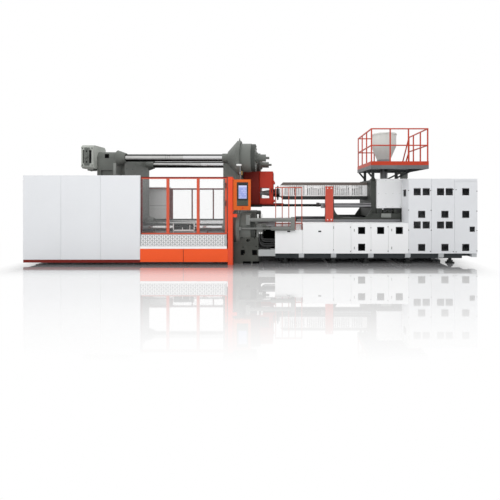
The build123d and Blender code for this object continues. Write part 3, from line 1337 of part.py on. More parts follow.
def main():
    os.makedirs("parts", exist_ok=True)
    save("clamp_base", clamp_base())
    save("slide_ways", way(-1), way(1), injection_way(-1), injection_way(1))
    save("fixed_platen", fixed_platen(), lifting_eye(-BAR_Y), lifting_eye(BAR_Y))
    save("platen_foot", platen_foot())
    save("clamp_accumulator", clamp_accumulator(), hose_block())
    save("tie_bars", *[tie_bar(y, z) for y, z in BARS])
    save("clamp_cylinders", *[clamp_cylinder(y, z) for y, z in BARS], *[bar_cap(y, z) for y, z in BARS])
    save("travel_barrels", travel_barrel(-1), travel_barrel(1))
    save("travel_rods", travel_rod(-1), travel_rod(1))
    save("moving_platen", moving_platen())
    save("platen_shoes", platen_shoe(-1), platen_shoe(1))
    save("lock_housings", *[lock_housing(y, z) for y, z in BARS])
    save("lock_nuts_front", *[lock_nut(y, z, -1) for y, z in BARS])
    save("lock_nuts_rear", *[lock_nut(y, z, 1) for y, z in BARS])
    save("ejector_cylinder", ejector_cylinder())
    save("ejector_plate", ejector_plate())
    save("front_covers", *clamp_covers(-1, FRONT_TOP_Z))
    save("rear_covers", *clamp_covers(1, REAR_TOP_Z), end_cover())
    save(
        "guard_frames",
        guard_frame(-1, FRONT_TOP_Z), guard_frame(1, REAR_TOP_Z),
        plinth(-1), plinth(1), *purge_rails(), purge_shroud(),
    )
    save("gate_columns", gate_column(-1, COLUMN_TOP), gate_column(1, REAR_TOP_Z), *hmi_brackets())
    handle_x = GATE_X1 - 30
    save("front_gate", gate(-1, FRONT_TOP_Z, FRONT_GATE_POSTS))
    save("front_gate_panes", *gate_panes(-1, FRONT_TOP_Z, FRONT_GATE_POSTS))
    save("front_gate_handles", *[pull_handle(handle_x, -GATE_Y1, z, z + 160, -1) for z in (1770, 2310)])
    save("rear_gate", gate(1, REAR_TOP_Z, REAR_GATE_POSTS), pull_handle(handle_x, GATE_Y1, 1500, 1700, 1))
    save("rear_gate_panes", *gate_panes(1, REAR_TOP_Z, REAR_GATE_POSTS))
    save("skirt_panels", *skirt(-1), *skirt(1))
    save("tread_panels", tread_panel(-1), tread_panel(1))
    save("hmi_panel", hmi_panel())
    save("hmi_screen", hmi_screen())
    save("stop_button", stop_button())
    save("purge_guard", purge_guard())
    save("purge_panes", *purge_panes())
    save("purge_handle", pull_handle(GUARD_X1 - 40, -GUARD_Y, 2190, 2330, -1))
    save("injection_base", injection_base())
    save("levelling_feet", *levelling_feet())
    save("base_covers", *base_covers(-1), *base_covers(1), base_deck(-1), base_deck(1), notch_shelf())
    save("base_fence", base_fence())
    save("cabinet", cabinet_box(-1), cabinet_box(1), cabinet_end())
    save("cabinet_panels", *cabinet_panels())
    grilles = [vent_grille(x, z, -BASE_FRONT_Y) for x, z in BASE_VENTS + PANEL_VENTS]
    grilles.append(vent_grille(*SMALL_VENT, -BASE_FRONT_Y, SMALL_VENT_SIZE))
    save("vent_grilles", *grilles, side_grille())
    save("carriage_rods", carriage_rod(-1), carriage_rod(1))
    save("carriage", carriage())
    save("carriage_barrels", carriage_barrel(-1), carriage_barrel(1))
    save("barrel", barrel())
    save("nozzle", nozzle())
    save("heater_bands", *heater_bands())
    save("barrel_cover", barrel_cover())
    save("barrel_shield", barrel_shield())
    save("injection_cylinders", *injection_cylinders())
    save("crosshead", crosshead())
    save("screw_motor", screw_motor())
    save("screw", screw())
    save("unit_cover", unit_cover())
    save("hopper", hopper())
    save("hopper_throat", hopper_throat())
    save("hopper_lid", hopper_lid())
    save("platform", platform())
    save("platform_rails", platform_rails(), toe_boards())
    save("platform_legs", *platform_legs())
    save("hoses", *hoses())


main()
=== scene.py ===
import json
import math

import bmesh
import bpy
from mathutils import Matrix, Vector


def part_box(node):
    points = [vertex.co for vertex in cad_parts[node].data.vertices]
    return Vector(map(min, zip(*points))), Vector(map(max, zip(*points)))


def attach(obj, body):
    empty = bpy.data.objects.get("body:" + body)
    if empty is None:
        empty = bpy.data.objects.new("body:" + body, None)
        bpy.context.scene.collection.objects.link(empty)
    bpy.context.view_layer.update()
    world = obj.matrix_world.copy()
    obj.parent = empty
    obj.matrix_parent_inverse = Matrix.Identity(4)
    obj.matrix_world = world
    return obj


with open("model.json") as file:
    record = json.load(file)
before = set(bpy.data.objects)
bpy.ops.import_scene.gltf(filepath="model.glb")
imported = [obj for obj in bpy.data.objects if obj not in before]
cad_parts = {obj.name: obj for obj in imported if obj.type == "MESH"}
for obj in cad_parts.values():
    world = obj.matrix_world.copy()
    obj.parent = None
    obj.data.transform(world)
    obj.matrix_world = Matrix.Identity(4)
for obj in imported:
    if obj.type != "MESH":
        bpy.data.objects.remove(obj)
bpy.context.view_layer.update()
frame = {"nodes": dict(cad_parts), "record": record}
NODES = frame["nodes"]

# Camera: horizon, vanishing point and focal length of a 500 px frame
HORIZON_PY = 196.5
VANISH_PX = 282.0
FRAME_PX = 500.0
FOCAL_PX = 333.3
SENSOR_MM = 36.0
CAMERA_X = 0.895
CAMERA_Z = 2.055
CAMERA_DISTANCE = 10.0
FAR_CLIP = 500
FRONT_Y = -1.75
PX = CAMERA_DISTANCE / FOCAL_PX

# Places of the CAD that the small parts sit on, in metres
AXIS_Z = 2.18
BAR_Y = 1.15
BAR_DZ = 1.1
BAR_R = 0.115
BARS = [(sy * BAR_Y, AXIS_Z + sz * BAR_DZ) for sy in (-1, 1) for sz in (-1, 1)]
LOCK_X = -5.094
HOUSING_X = (-5.271, -4.9)
HOUSING_HALF = 0.36
MOVING_FACE_Y = 1.30
FOOT_Y = -1.5
BASE_Y = -1.55
BASE_END_X = 6.86
DECK_Z = 1.509
DECK_SIDE_Y = -0.903


def make_camera():
    """Camera that looks along y, shifted to the horizon and the vanishing point."""
    data = bpy.data.cameras.new("camera")
    data.sensor_width = SENSOR_MM
    data.lens = SENSOR_MM * FOCAL_PX / FRAME_PX
    data.shift_x = -(VANISH_PX - FRAME_PX / 2) / FRAME_PX
    data.shift_y = (HORIZON_PY - FRAME_PX / 2) / FRAME_PX
    data.clip_end = FAR_CLIP
    camera = bpy.data.objects.new("camera", data)
    camera.location = (CAMERA_X, FRONT_Y - CAMERA_DISTANCE, CAMERA_Z)
    camera.rotation_euler = (math.radians(90), 0, 0)
    bpy.context.scene.collection.objects.link(camera)
    bpy.context.scene.camera = camera


def place(px, py, y):
    """X and z of the point at a place of the 500 px frame, on the plane of one y."""
    scale = PX * (y - FRONT_Y + CAMERA_DISTANCE) / CAMERA_DISTANCE
    return CAMERA_X + (px - VANISH_PX) * scale, CAMERA_Z + (HORIZON_PY - py) * scale


# Material helpers

def tint(code, factor=1.0):
    """Linear colour of a six-digit code."""
    channels = [int(code[index:index + 2], 16) / 255 for index in (0, 2, 4)]
    linear = [c / 12.92 if c <= 0.04045 else ((c + 0.055) / 1.055) ** 2.4 for c in channels]
    return tuple(min(1.0, factor * c) for c in linear)


def scaled(color, factor):
    return tuple(min(1.0, channel * factor) for channel in color)


def grey_stops(stops):
    """Stops of a ramp from pairs of place and grey level."""
    return [(place_at, (level, level, level)) for place_at, level in stops]


class Shader:
    """A principled material with object coordinates at hand."""

    def __init__(self, name, color, roughness, metallic=0.0, **sockets):
        self.material = bpy.data.materials.new(name)
        self.material.use_nodes = True
        self.tree = self.material.node_tree
        self.bsdf = self.tree.nodes["Principled BSDF"]
        self.bsdf.inputs["Base Color"].default_value = (*color, 1)
        self.bsdf.inputs["Roughness"].default_value = roughness
        self.bsdf.inputs["Metallic"].default_value = metallic
        for key, value in sockets.items():
            socket = key.replace("_", " ").title().replace("Ior", "IOR")
            self.bsdf.inputs[socket].default_value = value
        self.coords = self.node("ShaderNodeTexCoord").outputs["Object"]

    def node(self, kind, **settings):
        made = self.tree.nodes.new(kind)
        for key, value in settings.items():
            setattr(made, key, value)
        return made

    def link(self, source, target):
        self.tree.links.new(source, target)

    def mapped(self, scale):
        """The object's coordinates, scaled on each axis."""
        mapping = self.node("ShaderNodeMapping")
        mapping.inputs["Scale"].default_value = scale
        self.link(self.coords, mapping.inputs["Vector"])
        return mapping.outputs["Vector"]

    def noise(self, scale, detail=3.0, roughness=0.55, stretch=(1, 1, 1)):
        """Noise over the object's own coordinates."""
        noise = self.node("ShaderNodeTexNoise")
        noise.inputs["Scale"].default_value = scale
        noise.inputs["Detail"].default_value = detail
        noise.inputs["Roughness"].default_value = roughness
        self.link(self.mapped(stretch), noise.inputs["Vector"])
        return noise.outputs["Fac"]

    def ramp(self, value, stops):
        """Colour by a value, from pairs of place and colour."""
        ramp = self.node("ShaderNodeValToRGB")
        elements = ramp.color_ramp.elements
        while len(elements) < len(stops):
            elements.new(0.5)
        for element, (position, color) in zip(elements, stops):
            element.position = position
            element.color = (*color, 1)
        self.link(value, ramp.inputs["Fac"])
        return ramp.outputs["Color"]

    def math(self, operation, first, second=0.0):
        """One operation on sockets or numbers."""
        node = self.node("ShaderNodeMath", operation=operation)
        for socket, value in zip(node.inputs, (first, second)):
            if hasattr(value, "is_linked"):
                self.link(value, socket)
            else:
                socket.default_value = value
        return node.outputs[0]

    def mix(self, factor, first, second, blend="MIX"):
        """Mix of two colours, each a socket or three channels."""
        node = self.node("ShaderNodeMix", data_type="RGBA", blend_type=blend)
        sockets = (node.inputs[0], node.inputs[6], node.inputs[7])
        for socket, value in zip(sockets, (factor, first, second)):
            if hasattr(value, "is_linked"):
                self.link(value, socket)
            elif isinstance(value, float):
                socket.default_value = value
            else:
                socket.default_value = (*value, 1)
        return node.outputs[2]

    def axis(self, name):
        split = self.node("ShaderNodeSeparateXYZ")
        self.link(self.coords, split.inputs[0])
        return split.outputs[name]

    def remap(self, value, start, end, low=0.0, high=1.0, kind="LINEAR"):
        """Low at the start of a range, high at its end."""
        mapped = self.node("ShaderNodeMapRange", interpolation_type=kind)
        mapped.inputs["From Min"].default_value = start
        mapped.inputs["From Max"].default_value = end
        mapped.inputs["To Min"].default_value = low
        mapped.inputs["To Max"].default_value = high
        self.link(value, mapped.inputs["Value"])
        return mapped.outputs[0]

    def span(self, name, low, high, soft=0.002):
        """1 between two places on an axis, 0 outside, with a soft edge."""
        first = self.remap(self.axis(name), low - soft, low + soft)
        last = self.remap(self.axis(name), high + soft, high - soft)
        return self.math("MULTIPLY", first, last)

    def color(self, value):
        self.link(value, self.bsdf.inputs["Base Color"])

    def rough(self, value, low, high):
        self.link(self.remap(value, 0.0, 1.0, low, high), self.bsdf.inputs["Roughness"])

    def bump(self, height, strength, distance):
        bump = self.node("ShaderNodeBump")
        bump.inputs["Strength"].default_value = strength
        bump.inputs["Distance"].default_value = distance
        self.link(height, bump.inputs["Height"])
        self.link(bump.outputs[0], self.bsdf.inputs["Normal"])


# Materials

def painted(name, color, roughness=0.35, dirt=0.06, shine=0.35):
    """Sprayed paint: faint clouding, orange peel and fine dust."""
    shader = Shader(name, color, roughness, specular_ior_level=shine)
    cloud = shader.noise(1.3, 4.0)
    fine = shader.noise(38.0, 2.0)
    base = shader.ramp(cloud, [(0.3, scaled(color, 1 - dirt)), (0.7, color)])
    base = shader.mix(shader.math("MULTIPLY", fine, 0.10), base, scaled(color, 0.86))
    shader.color(base)
    shader.rough(cloud, roughness - 0.06, roughness + 0.08)
    shader.bump(shader.noise(420.0, 2.0), 0.12, 0.0006)
    shader.base = base
    return shader


def paint(*args, **more):
    """The material of a plain paint."""
    return painted(*args, **more).material


def marked_paint(name, color, marks, **more):
    """Paint with areas of another colour: axis limits and the colour of each."""
    shader = painted(name, color, **more)
    base = shader.base
    for limits, other in marks:
        area = None
        for axis, low, high in limits:
            part = shader.span(axis, low, high)
            area = part if area is None else shader.math("MULTIPLY", area, part)
        base = shader.mix(area, base, other)
    shader.color(base)
    return shader.material


def casting(name, color):
    """Painted casting: sandy skin, blotches, worn lighter spots."""
    shader = Shader(name, color, 0.5, specular_ior_level=0.4)
    blotch = shader.noise(2.2, 6.0, 0.65)
    skin = shader.noise(70.0, 5.0, 0.7)
    dark, worn = scaled(color, 0.72), scaled(color, 1.35)
    base = shader.ramp(blotch, [(0.25, dark), (0.55, color), (0.8, worn)])
    shader.color(shader.mix(shader.math("MULTIPLY", skin, 0.35), base, scaled(color, 0.6)))
    shader.rough(skin, 0.38, 0.62)
    shader.bump(skin, 0.45, 0.004)
    return shader.material


def machined(name, color, stretch=(1, 60, 60), roughness=0.3):
    """Turned or ground metal with fine marks along one axis."""
    shader = Shader(name, color, roughness, metallic=1.0)
    marks = shader.noise(14.0, 4.0, 0.6, stretch)
    cloud = shader.noise(1.6, 3.0)
    base = shader.mix(cloud, scaled(color, 0.82), color)
    shader.color(shader.mix(shader.math("MULTIPLY", marks, 0.5), base, scaled(color, 0.7)))
    shader.rough(marks, roughness - 0.08, roughness + 0.14)
    shader.bump(marks, 0.08, 0.0006)
    return shader.material


# Share of the chrome's colour from the bottom of a bar to its top: a painted reflection, a bright band
# a little above the middle, with painted shade below it and along the top
REFLECTION_STOPS = (
    (0.0, 0.06), (0.24, 0.10), (0.36, 0.60), (0.44, 1.0), (0.68, 1.0), (0.78, 0.12), (1.0, 0.04),
)


def chrome_bar(name):
    """Hard chrome: bright where the lock never runs, with a painted reflection: a bright band along
    each bar, and painted shade along its upper and lower side.
    """
    edge_tint = (0.25, 0.25, 0.25, 1)
    clean_x = (-2.22, -0.9)
    shader = Shader(name, (0.62, 0.62, 0.63), 0.14, metallic=1.0, specular_tint=edge_tint)
    film = shader.noise(3.0, 4.0, 0.6, (0.6, 3, 3))
    worn = shader.ramp(film, [(0.3, (0.56, 0.56, 0.55)), (0.7, (0.70, 0.70, 0.69))])
    clean = shader.span("X", *clean_x, 0.01)
    metal = shader.mix(clean, worn, (0.80, 0.80, 0.81))
    # Height over the middle of a bar, the same for the upper and the lower pair
    lifted = shader.math("SUBTRACT", shader.axis("Z"), AXIS_Z - 2 * BAR_DZ)
    level = shader.math("SUBTRACT", shader.math("MODULO", lifted, 2 * BAR_DZ), BAR_DZ)
    height = shader.remap(level, -BAR_R, BAR_R)
    # Painted reflection and painted shade: the colour goes from dark at the bottom to a bright band,
    # then dark again at the top
    oil = shader.ramp(height, grey_stops(REFLECTION_STOPS))
    shader.color(shader.mix(1.0, metal, oil, "MULTIPLY"))
    shader.rough(film, 0.16, 0.28)
    shader.bump(shader.noise(60.0, 3.0, 0.6, (40, 1, 1)), 0.03, 0.0005)
    return shader.material


def clear_pane(name):
    """Clear sheet with a faint haze."""
    shader = Shader(name, (0.94, 0.96, 0.97), 0.05, alpha=0.05, specular_ior_level=0.3)
    haze = shader.noise(2.0, 3.0)
    shader.rough(haze, 0.03, 0.12)
    shader.bump(shader.noise(3.0, 2.0), 0.05, 0.002)
    shader.material.surface_render_method = "BLENDED"
    return shader.material


def plastic(name, color, roughness=0.45):
    """Moulded plastic with a fine grain."""
    shader = Shader(name, color, roughness)
    grain = shader.noise(300.0, 2.0)
    cloud = shader.math("MULTIPLY", shader.noise(9.0), 0.3)
    shader.color(shader.mix(cloud, color, scaled(color, 1.5)))
    shader.rough(grain, roughness - 0.05, roughness + 0.1)
    shader.bump(grain, 0.15, 0.0005)
    return shader.material


def rubber(name):
    """Hose cover with a fabric braid pressed into it."""
    shader = Shader(name, (0.018, 0.018, 0.019), 0.6)
    braid = shader.noise(160.0, 2.0, 0.5, (1, 2, 1))
    shader.color(shader.mix(braid, (0.012, 0.012, 0.012), (0.045, 0.045, 0.047)))
    shader.rough(braid, 0.28, 0.5)
    shader.bump(braid, 0.2, 0.001)
    return shader.material


def polymer(name, color):
    """Milky moulded polymer that lets some light through."""
    shader = Shader(name, color, 0.45, alpha=0.82, specular_ior_level=0.3)
    cloud = shader.noise(1.8, 3.0)
    shader.color(shader.ramp(cloud, [(0.3, scaled(color, 0.93)), (0.7, color)]))
    shader.rough(cloud, 0.38, 0.5)
    shader.bump(shader.noise(90.0, 2.0), 0.08, 0.001)
    return shader.material


def rear_cover_paint(name):
    """White outside; the inner faces carry painted shade, grey and darker at lower x, with the seam
    lines of the sheets.
    """
    shade_x = (-5.0, -3.7)
    inner_y = (1.0, 1.7465)
    seams = ((1.69, 0.008, 0.6), (1.55, 0.006, 0.25))
    shader = painted(name, tint("E6E8EA"), roughness=0.33, dirt=0.03)
    # Painted shade: the inner faces of the white sheets are painted grey, as they lie in shadow
    shade = shader.remap(shader.axis("X"), *shade_x)
    inner = shader.mix(shade, tint("8C908C", 1.8), tint("DADED8", 1.7))
    for z, half, strength in seams:
        line = shader.math("MULTIPLY", shader.span("Z", z - half, z + half), strength)
        inner = shader.mix(line, inner, tint("4A4D4A"))
    inside = shader.span("Y", *inner_y, 0.0005)
    shader.color(shader.mix(inside, shader.base, inner))
    return shader.material


def lit_display(name):
    """Glass front of the display, lit from behind with plain fields."""
    header_z = (2.33, 2.40)
    fields = {
        "Color1": (*tint("9AA6E0"), 1), "Color2": (*tint("B7BEEC"), 1), "Mortar": (*tint("7C88C8"), 1),
        "Scale": 1.0, "Brick Width": 0.085, "Row Height": 0.055, "Mortar Size": 0.004,
    }
    shader = Shader(name, tint("8F9AD6"), 0.15)
    brick = shader.node("ShaderNodeTexBrick")
    for socket, value in fields.items():
        brick.inputs[socket].default_value = value
    turned = shader.node("ShaderNodeMapping")
    turned.inputs["Rotation"].default_value = (math.radians(90), 0, 0)
    shader.link(shader.coords, turned.inputs["Vector"])
    shader.link(turned.outputs["Vector"], brick.inputs["Vector"])
    top = shader.span("Z", *header_z, 0.004)
    lit = shader.mix(top, brick.outputs["Color"], tint("C9CEF2"))
    shader.color(shader.mix(0.75, lit, (0.02, 0.02, 0.03)))
    shader.link(lit, shader.bsdf.inputs["Emission Color"])
    shader.bsdf.inputs["Emission Strength"].default_value = 0.75
    return shader.material


# One material for each slot of the record
MATERIALS = {
    "white_cover": paint("white_cover", tint("E8EAED"), 0.33, 0.02),
    "orange_paint": paint("orange_paint", tint("F0522A"), 0.34, shine=0.25),
    "dark_red_paint": paint("dark_red_paint", tint("B83A2C"), 0.36, shine=0.25),
    "cast_grey": casting("cast_grey", tint("5F625E", 1.3)),
    "machined_steel": machined("machined_steel", (0.30, 0.30, 0.31)),
    "chrome_rod": chrome_bar("chrome_rod"),
    "bronze": machined("bronze", (0.55, 0.36, 0.15)),
    "tread_plate": paint("tread_plate", tint("C9CBCC"), 0.30, shine=0.6),
    "clear_pane": clear_pane("clear_pane"),
    "black_plastic": plastic("black_plastic", (0.02, 0.02, 0.022)),
    "screen_black": plastic("screen_black", (0.028, 0.033, 0.028), 0.25),
    "red_button": plastic("red_button", (0.6, 0.015, 0.01), 0.3),
    "vent_black": paint("vent_black", (0.004, 0.0042, 0.0045), 0.9, shine=0.0),
    "perforated_sheet": paint("perforated_sheet", tint("F8F8F6"), 0.42),
    "hopper_steel": polymer("hopper_steel", tint("EDEFEB")),
    "hose_rubber": rubber("hose_rubber"),
}

# Areas of another colour on a node: axis limits in metres, and the colour
BRACKET_X = (1.49, 2.475, 3.62, 4.75, 5.77, 6.78)
BRACKET_MARKS = [
    ([("X", x - 0.081, x + 0.081), ("Z", 0.17, 0.306)], tint("BFC2C4")) for x in BRACKET_X
]
CHANNEL_MARK = ([("X", 0.16, 0.69), ("Z", 0.22, 0.421)], tint("B9BCBC"))
SKIRT_SEAM = ([("X", -2.074, -2.058)], tint("7A2A16"))
GATE_EDGE = ([("X", -3.42, -3.345)], tint("5E2622"))
CYLINDER_RIM = ([("X", -0.0685, 0.0615)], tint("3E413E"))
COVER_TOP = ([("Z", 2.44, 2.60)], tint("6B635E"))
# Painted shade: a near-black band along the lower side of the white barrel cover
COVER_UNDERSIDE_SHADE = ([("Z", 1.90, 2.07)], tint("2C2D2D"))
KEYPAD = ([("Z", 1.786, 1.934)], tint("555A50"))
TREAD_SILL = ([("Z", 0.40, 0.56)], tint("FFFFFF"))

# Nodes that differ from the material of their slot
NODE_MATERIALS = {
    "skirt_panels": marked_paint(
        "skirt_orange", tint("FF5C2C", 1.12), [SKIRT_SEAM], roughness=0.34, shine=0.2,
    ),
    "gate_columns": paint("column_orange", tint("EE5230"), 0.3, shine=0.3),
    "front_gate": marked_paint("gate_orange", tint("D65F46"), [GATE_EDGE], roughness=0.34, shine=0.2),
    # Painted shade: the rear gate is the orange of the gates, painted dark red
    "rear_gate": paint("rear_gate_red", tint("6E2420"), 0.4, shine=0.1),
    # Partly painted shade: red frames, darkened because the shroud and the plinth among them sit in
    # shadow
    "guard_frames": paint("frame_red", tint("7E2C26"), 0.4, shine=0.1),
    "hmi_panel": paint("panel_orange", tint("DD6624"), 0.34, shine=0.25),
    "base_fence": paint("fence_red", tint("BC5A48"), 0.4, shine=0.2),
    "platform_rails": paint("rail_red", tint("C2452F"), 0.38, shine=0.2),
    "barrel_shield": paint("shield_red", tint("C65344"), 0.38, shine=0.25),
    "purge_guard": paint("hood_red", tint("C23A2A"), 0.38, shine=0.25),
    "rear_covers": rear_cover_paint("rear_cover_white_painted_shade"),
    "injection_base": marked_paint(
        "base_frame", tint("3B3E40"), BRACKET_MARKS + [CHANNEL_MARK], roughness=0.6, shine=0.1,
    ),
    "levelling_feet": casting("feet_black", tint("1E2020")),
    "platen_foot": casting("foot_grey", tint("474944")),
    "clamp_base": casting("clamp_base_grey", tint("3A3C3A")),
    "clamp_cylinders": marked_paint(
        "cylinder_grey", tint("666965", 1.15), [CYLINDER_RIM], roughness=0.5, shine=0.3,
    ),
    "barrel_cover": marked_paint(
        "barrel_cover_white", tint("FFFFFC", 1.05), [COVER_TOP, COVER_UNDERSIDE_SHADE], roughness=0.42,
    ),
    # Painted light: the bands are near white so the slots of the cover read light, though its inside
    # lies in shade
    "heater_bands": paint("band_grey", tint("EEF0F0"), 0.4),
    "hmi_screen": marked_paint("screen_frame", tint("343837"), [KEYPAD], roughness=0.3, shine=0.15),
    # Painted shade: the plate between the lozenges is painted darker than the tread metal
    "tread_panels": marked_paint("tread_base_painted_shade", tint("B6B9BA"), [TREAD_SILL], roughness=0.32, shine=0.4),
    "platform": casting("platform_grey", tint("6E7072")),
    "platform_legs": casting("legs_grey", tint("3C3F40")),
    "carriage": casting("carriage_grey", tint("3C3F3B")),
    "clamp_accumulator": casting("accumulator_grey", tint("7C7E7B")),
    "lock_housings": casting("housing_grey", tint("868984", 1.8)),
    "moving_platen": casting("platen_grey", tint("5A5D59", 1.3)),
    "base_covers": paint("base_white", tint("FAFBFC"), 0.33, 0.02),
    "unit_cover": paint("unit_white", tint("F4F5F6"), 0.33, 0.02),
    "lock_nuts_front": machined("nut_front", (0.10, 0.10, 0.10), roughness=0.5),
    "lock_nuts_rear": machined("nut_rear", (0.10, 0.10, 0.10), roughness=0.5),
}

# Materials of the small parts
CAST = MATERIALS["cast_grey"]
BLACK = MATERIALS["black_plastic"]
DARK = MATERIALS["vent_black"]
PALE = paint("pale_plastic", tint("EDEEEC"), 0.4)
# Painted highlight: the lozenges are painted white, brighter than the tread metal they are made of
LOZENGE = paint("lozenge_metal", tint("FFFFFF"), 0.3, shine=0.6)
STEEL = machined("bright_steel", (0.42, 0.42, 0.43), (1, 1, 1), 0.28)
DISPLAY = lit_display("display")
GREY_BOX = paint("grey_box", tint("8C8F8B"), 0.45)


def dress_nodes():
    """Each CAD node gets the material of its slot, or its own."""
    for entry in frame["record"]["subparts"]:
        materials = NODES[entry["node"]].data.materials
        materials.clear()
        materials.append(NODE_MATERIALS.get(entry["node"], MATERIALS[entry["material_slot"]]))


# Shapes of the small parts

LOZENGE_OUTLINE = (
    (1, 0), (0.55, 0.8), (0, 1), (-0.55, 0.8), (-1, 0), (-0.55, -0.8), (0, -1), (0.55, -0.8),
)
SHARP_DEGREES = 35


def end_name(side):
    return "front" if side < 0 else "rear"


class Shape:
    """Blocks, bars, rings and pipes gathered in one mesh."""

    def __init__(self):
        self.mesh = bmesh.new()

    def box(self, x, y, z, bevel):
        """Bevelled block between pairs of limits."""
        size = [abs(high - low) for low, high in (x, y, z)]
        middle = Vector([(low + high) / 2 for low, high in (x, y, z)])
        put = Matrix.Translation(middle) @ Matrix.Diagonal((*size, 1))
        verts = bmesh.ops.create_cube(self.mesh, size=1, matrix=put)["verts"]
        edges = list({edge for vert in verts for edge in vert.link_edges})
        width = min(bevel, 0.3 * min(size))
        bmesh.ops.bevel(self.mesh, geom=edges, offset=width, segments=2, profile=0.6, affect="EDGES")

    def bar(self, start, end, radius, sides=24):
        """Round bar or prism between two points, with broken edges."""
        start, end = Vector(start), Vector(end)
        along = end - start
        turn = along.to_track_quat("Z", "Y").to_matrix().to_4x4()
        verts = bmesh.ops.create_cone(
            self.mesh, cap_ends=True, segments=sides, radius1=radius, radius2=radius,
            depth=along.length, matrix=Matrix.Translation((start + end) / 2) @ turn,
        )["verts"]
        edges = {edge for vert in verts for edge in vert.link_edges}
        rims = [edge for edge in edges if any(len(face.verts) > 4 for face in edge.link_faces)]
        width = min(0.002, 0.2 * radius, 0.2 * along.length)
        bmesh.ops.bevel(self.mesh, geom=rims, offset=width, segments=1, profile=0.5, affect="EDGES")

    def bolt(self, start, axis, radius):
        """Hexagon head with its washer."""
        start, axis = Vector(start), Vector(axis)
        height = 0.8 * radius
        washer_end = start + axis * height * 0.25
        self.bar(start, washer_end, radius * 1.3, 20)
        self.bar(washer_end, start + axis * height * 1.2, radius, 6)

    def bolts(self, middle, axis, circle, count, radius, turn, keep=None):
        """Ring of bolts round an axis, left out where keep says no."""
        middle, axis = Vector(middle), Vector(axis)
        side = axis.orthogonal().normalized()
        up = axis.cross(side)
        for index in range(count):
            angle = turn + math.tau * index / count
            point = middle + circle * (math.cos(angle) * side + math.sin(angle) * up)
            if keep is None or keep(point):
                self.bolt(point, axis, radius)

    def ring(self, middle, axis, outer, inner, depth, sides=40):
        """Flat ring with a bore."""
        middle, axis = Vector(middle), Vector(axis)
        side = axis.orthogonal().normalized()
        up = axis.cross(side)
        loops = []
        for radius, level in ((outer, 0), (outer, depth), (inner, depth), (inner, 0)):
            loop = []
            for index in range(sides):
                angle = math.tau * index / sides
                spoke = math.cos(angle) * side + math.sin(angle) * up
                loop.append(self.mesh.verts.new(middle + axis * level + spoke * radius))
            loops.append(loop)
        for first, second in zip(loops, loops[1:] + loops[:1]):
            for index in range(sides):
                after = (index + 1) % sides
                self.mesh.faces.new((first[index], first[after], second[after], second[index]))

    def pipe(self, points, radius):
        """Smooth tube through points, closed at both ends."""
        sides = 10
        path = smooth_path([Vector(point) for point in points], 6)
        side = (path[1] - path[0]).orthogonal().normalized()
        rings = []
        for index, point in enumerate(path):
            ahead = path[min(index + 1, len(path) - 1)] - path[max(index - 1, 0)]
            ahead.normalize()
            side = (side - side.project(ahead)).normalized()
            up = ahead.cross(side)
            angles = [math.tau * step / sides for step in range(sides)]
            spokes = [math.cos(angle) * side + math.sin(angle) * up for angle in angles]
            rings.append([self.mesh.verts.new(point + spoke * radius) for spoke in spokes])
        for lower, upper in zip(rings, rings[1:]):
            for index in range(sides):
                after = (index + 1) % sides
                self.mesh.faces.new((lower[index], lower[after], upper[after], upper[index]))
        self.mesh.faces.new(list(reversed(rings[0])))
        self.mesh.faces.new(rings[-1])

    def lozenge(self, middle, side, length, width, height, tilt):
        """Raised bar of the tread pattern on a face that looks along y."""
        lengthwise = Vector((math.cos(tilt), 0, math.sin(tilt)))
        across = Vector((-math.sin(tilt), 0, math.cos(tilt)))
        out = Vector((0, side, 0))
        top_share = 0.6
        base, top = [], []
        for along, over in LOZENGE_OUTLINE:
            spread = lengthwise * along * length + across * over * width
            base.append(self.mesh.verts.new(middle + spread))
            top.append(self.mesh.verts.new(middle + spread * top_share + out * height))
        for index in range(len(base)):
            after = (index + 1) % len(base)
            self.mesh.faces.new((base[index], base[after], top[after], top[index]))
        self.mesh.faces.new(top)
        self.mesh.faces.new(list(reversed(base)))

    def made(self, name, body, slot, material):
        """The finished piece, riding on a body of the frame."""
        bmesh.ops.recalc_face_normals(self.mesh, faces=self.mesh.faces)
        mesh = bpy.data.meshes.new(name)
        self.mesh.to_mesh(mesh)
        self.mesh.free()
        mesh.shade_smooth()
        mesh.set_sharp_from_angle(angle=math.radians(SHARP_DEGREES))
        mesh.materials.append(material)
        made = bpy.data.objects.new(name, mesh)
        bpy.context.scene.collection.objects.link(made)
        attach(made, body)


def smooth_path(points, steps):
    """Points on a curve through the given ones."""
    ends = [2 * points[0] - points[1], *points, 2 * points[-1] - points[-2]]
    path = []
    for a, b, c, d in zip(ends, ends[1:], ends[2:], ends[3:]):
        for index in range(steps):
            t = index / steps
            slope = (c - a) * t
            bend = (2 * a - 5 * b + 4 * c - d) * t**2
            twist = (3 * b - a - 3 * c + d) * t**3
            path.append(0.5 * (2 * b + slope + bend + twist))
    return path + [points[-1]]


# Clamp end

TREAD_X0 = {-1: -3.34, 1: -3.565}
TREAD_X1 = -0.79
TREAD_FACE_Y = 1.746
TREAD_PITCH_X = 0.068
TREAD_PITCH_Z = 0.056
TREAD_ROWS = 6
TREAD_FIRST_Z = 0.105
TREAD_MARGIN_Z = 0.02
LOZENGE_SIZE = (0.037, 0.0145, 0.0036)


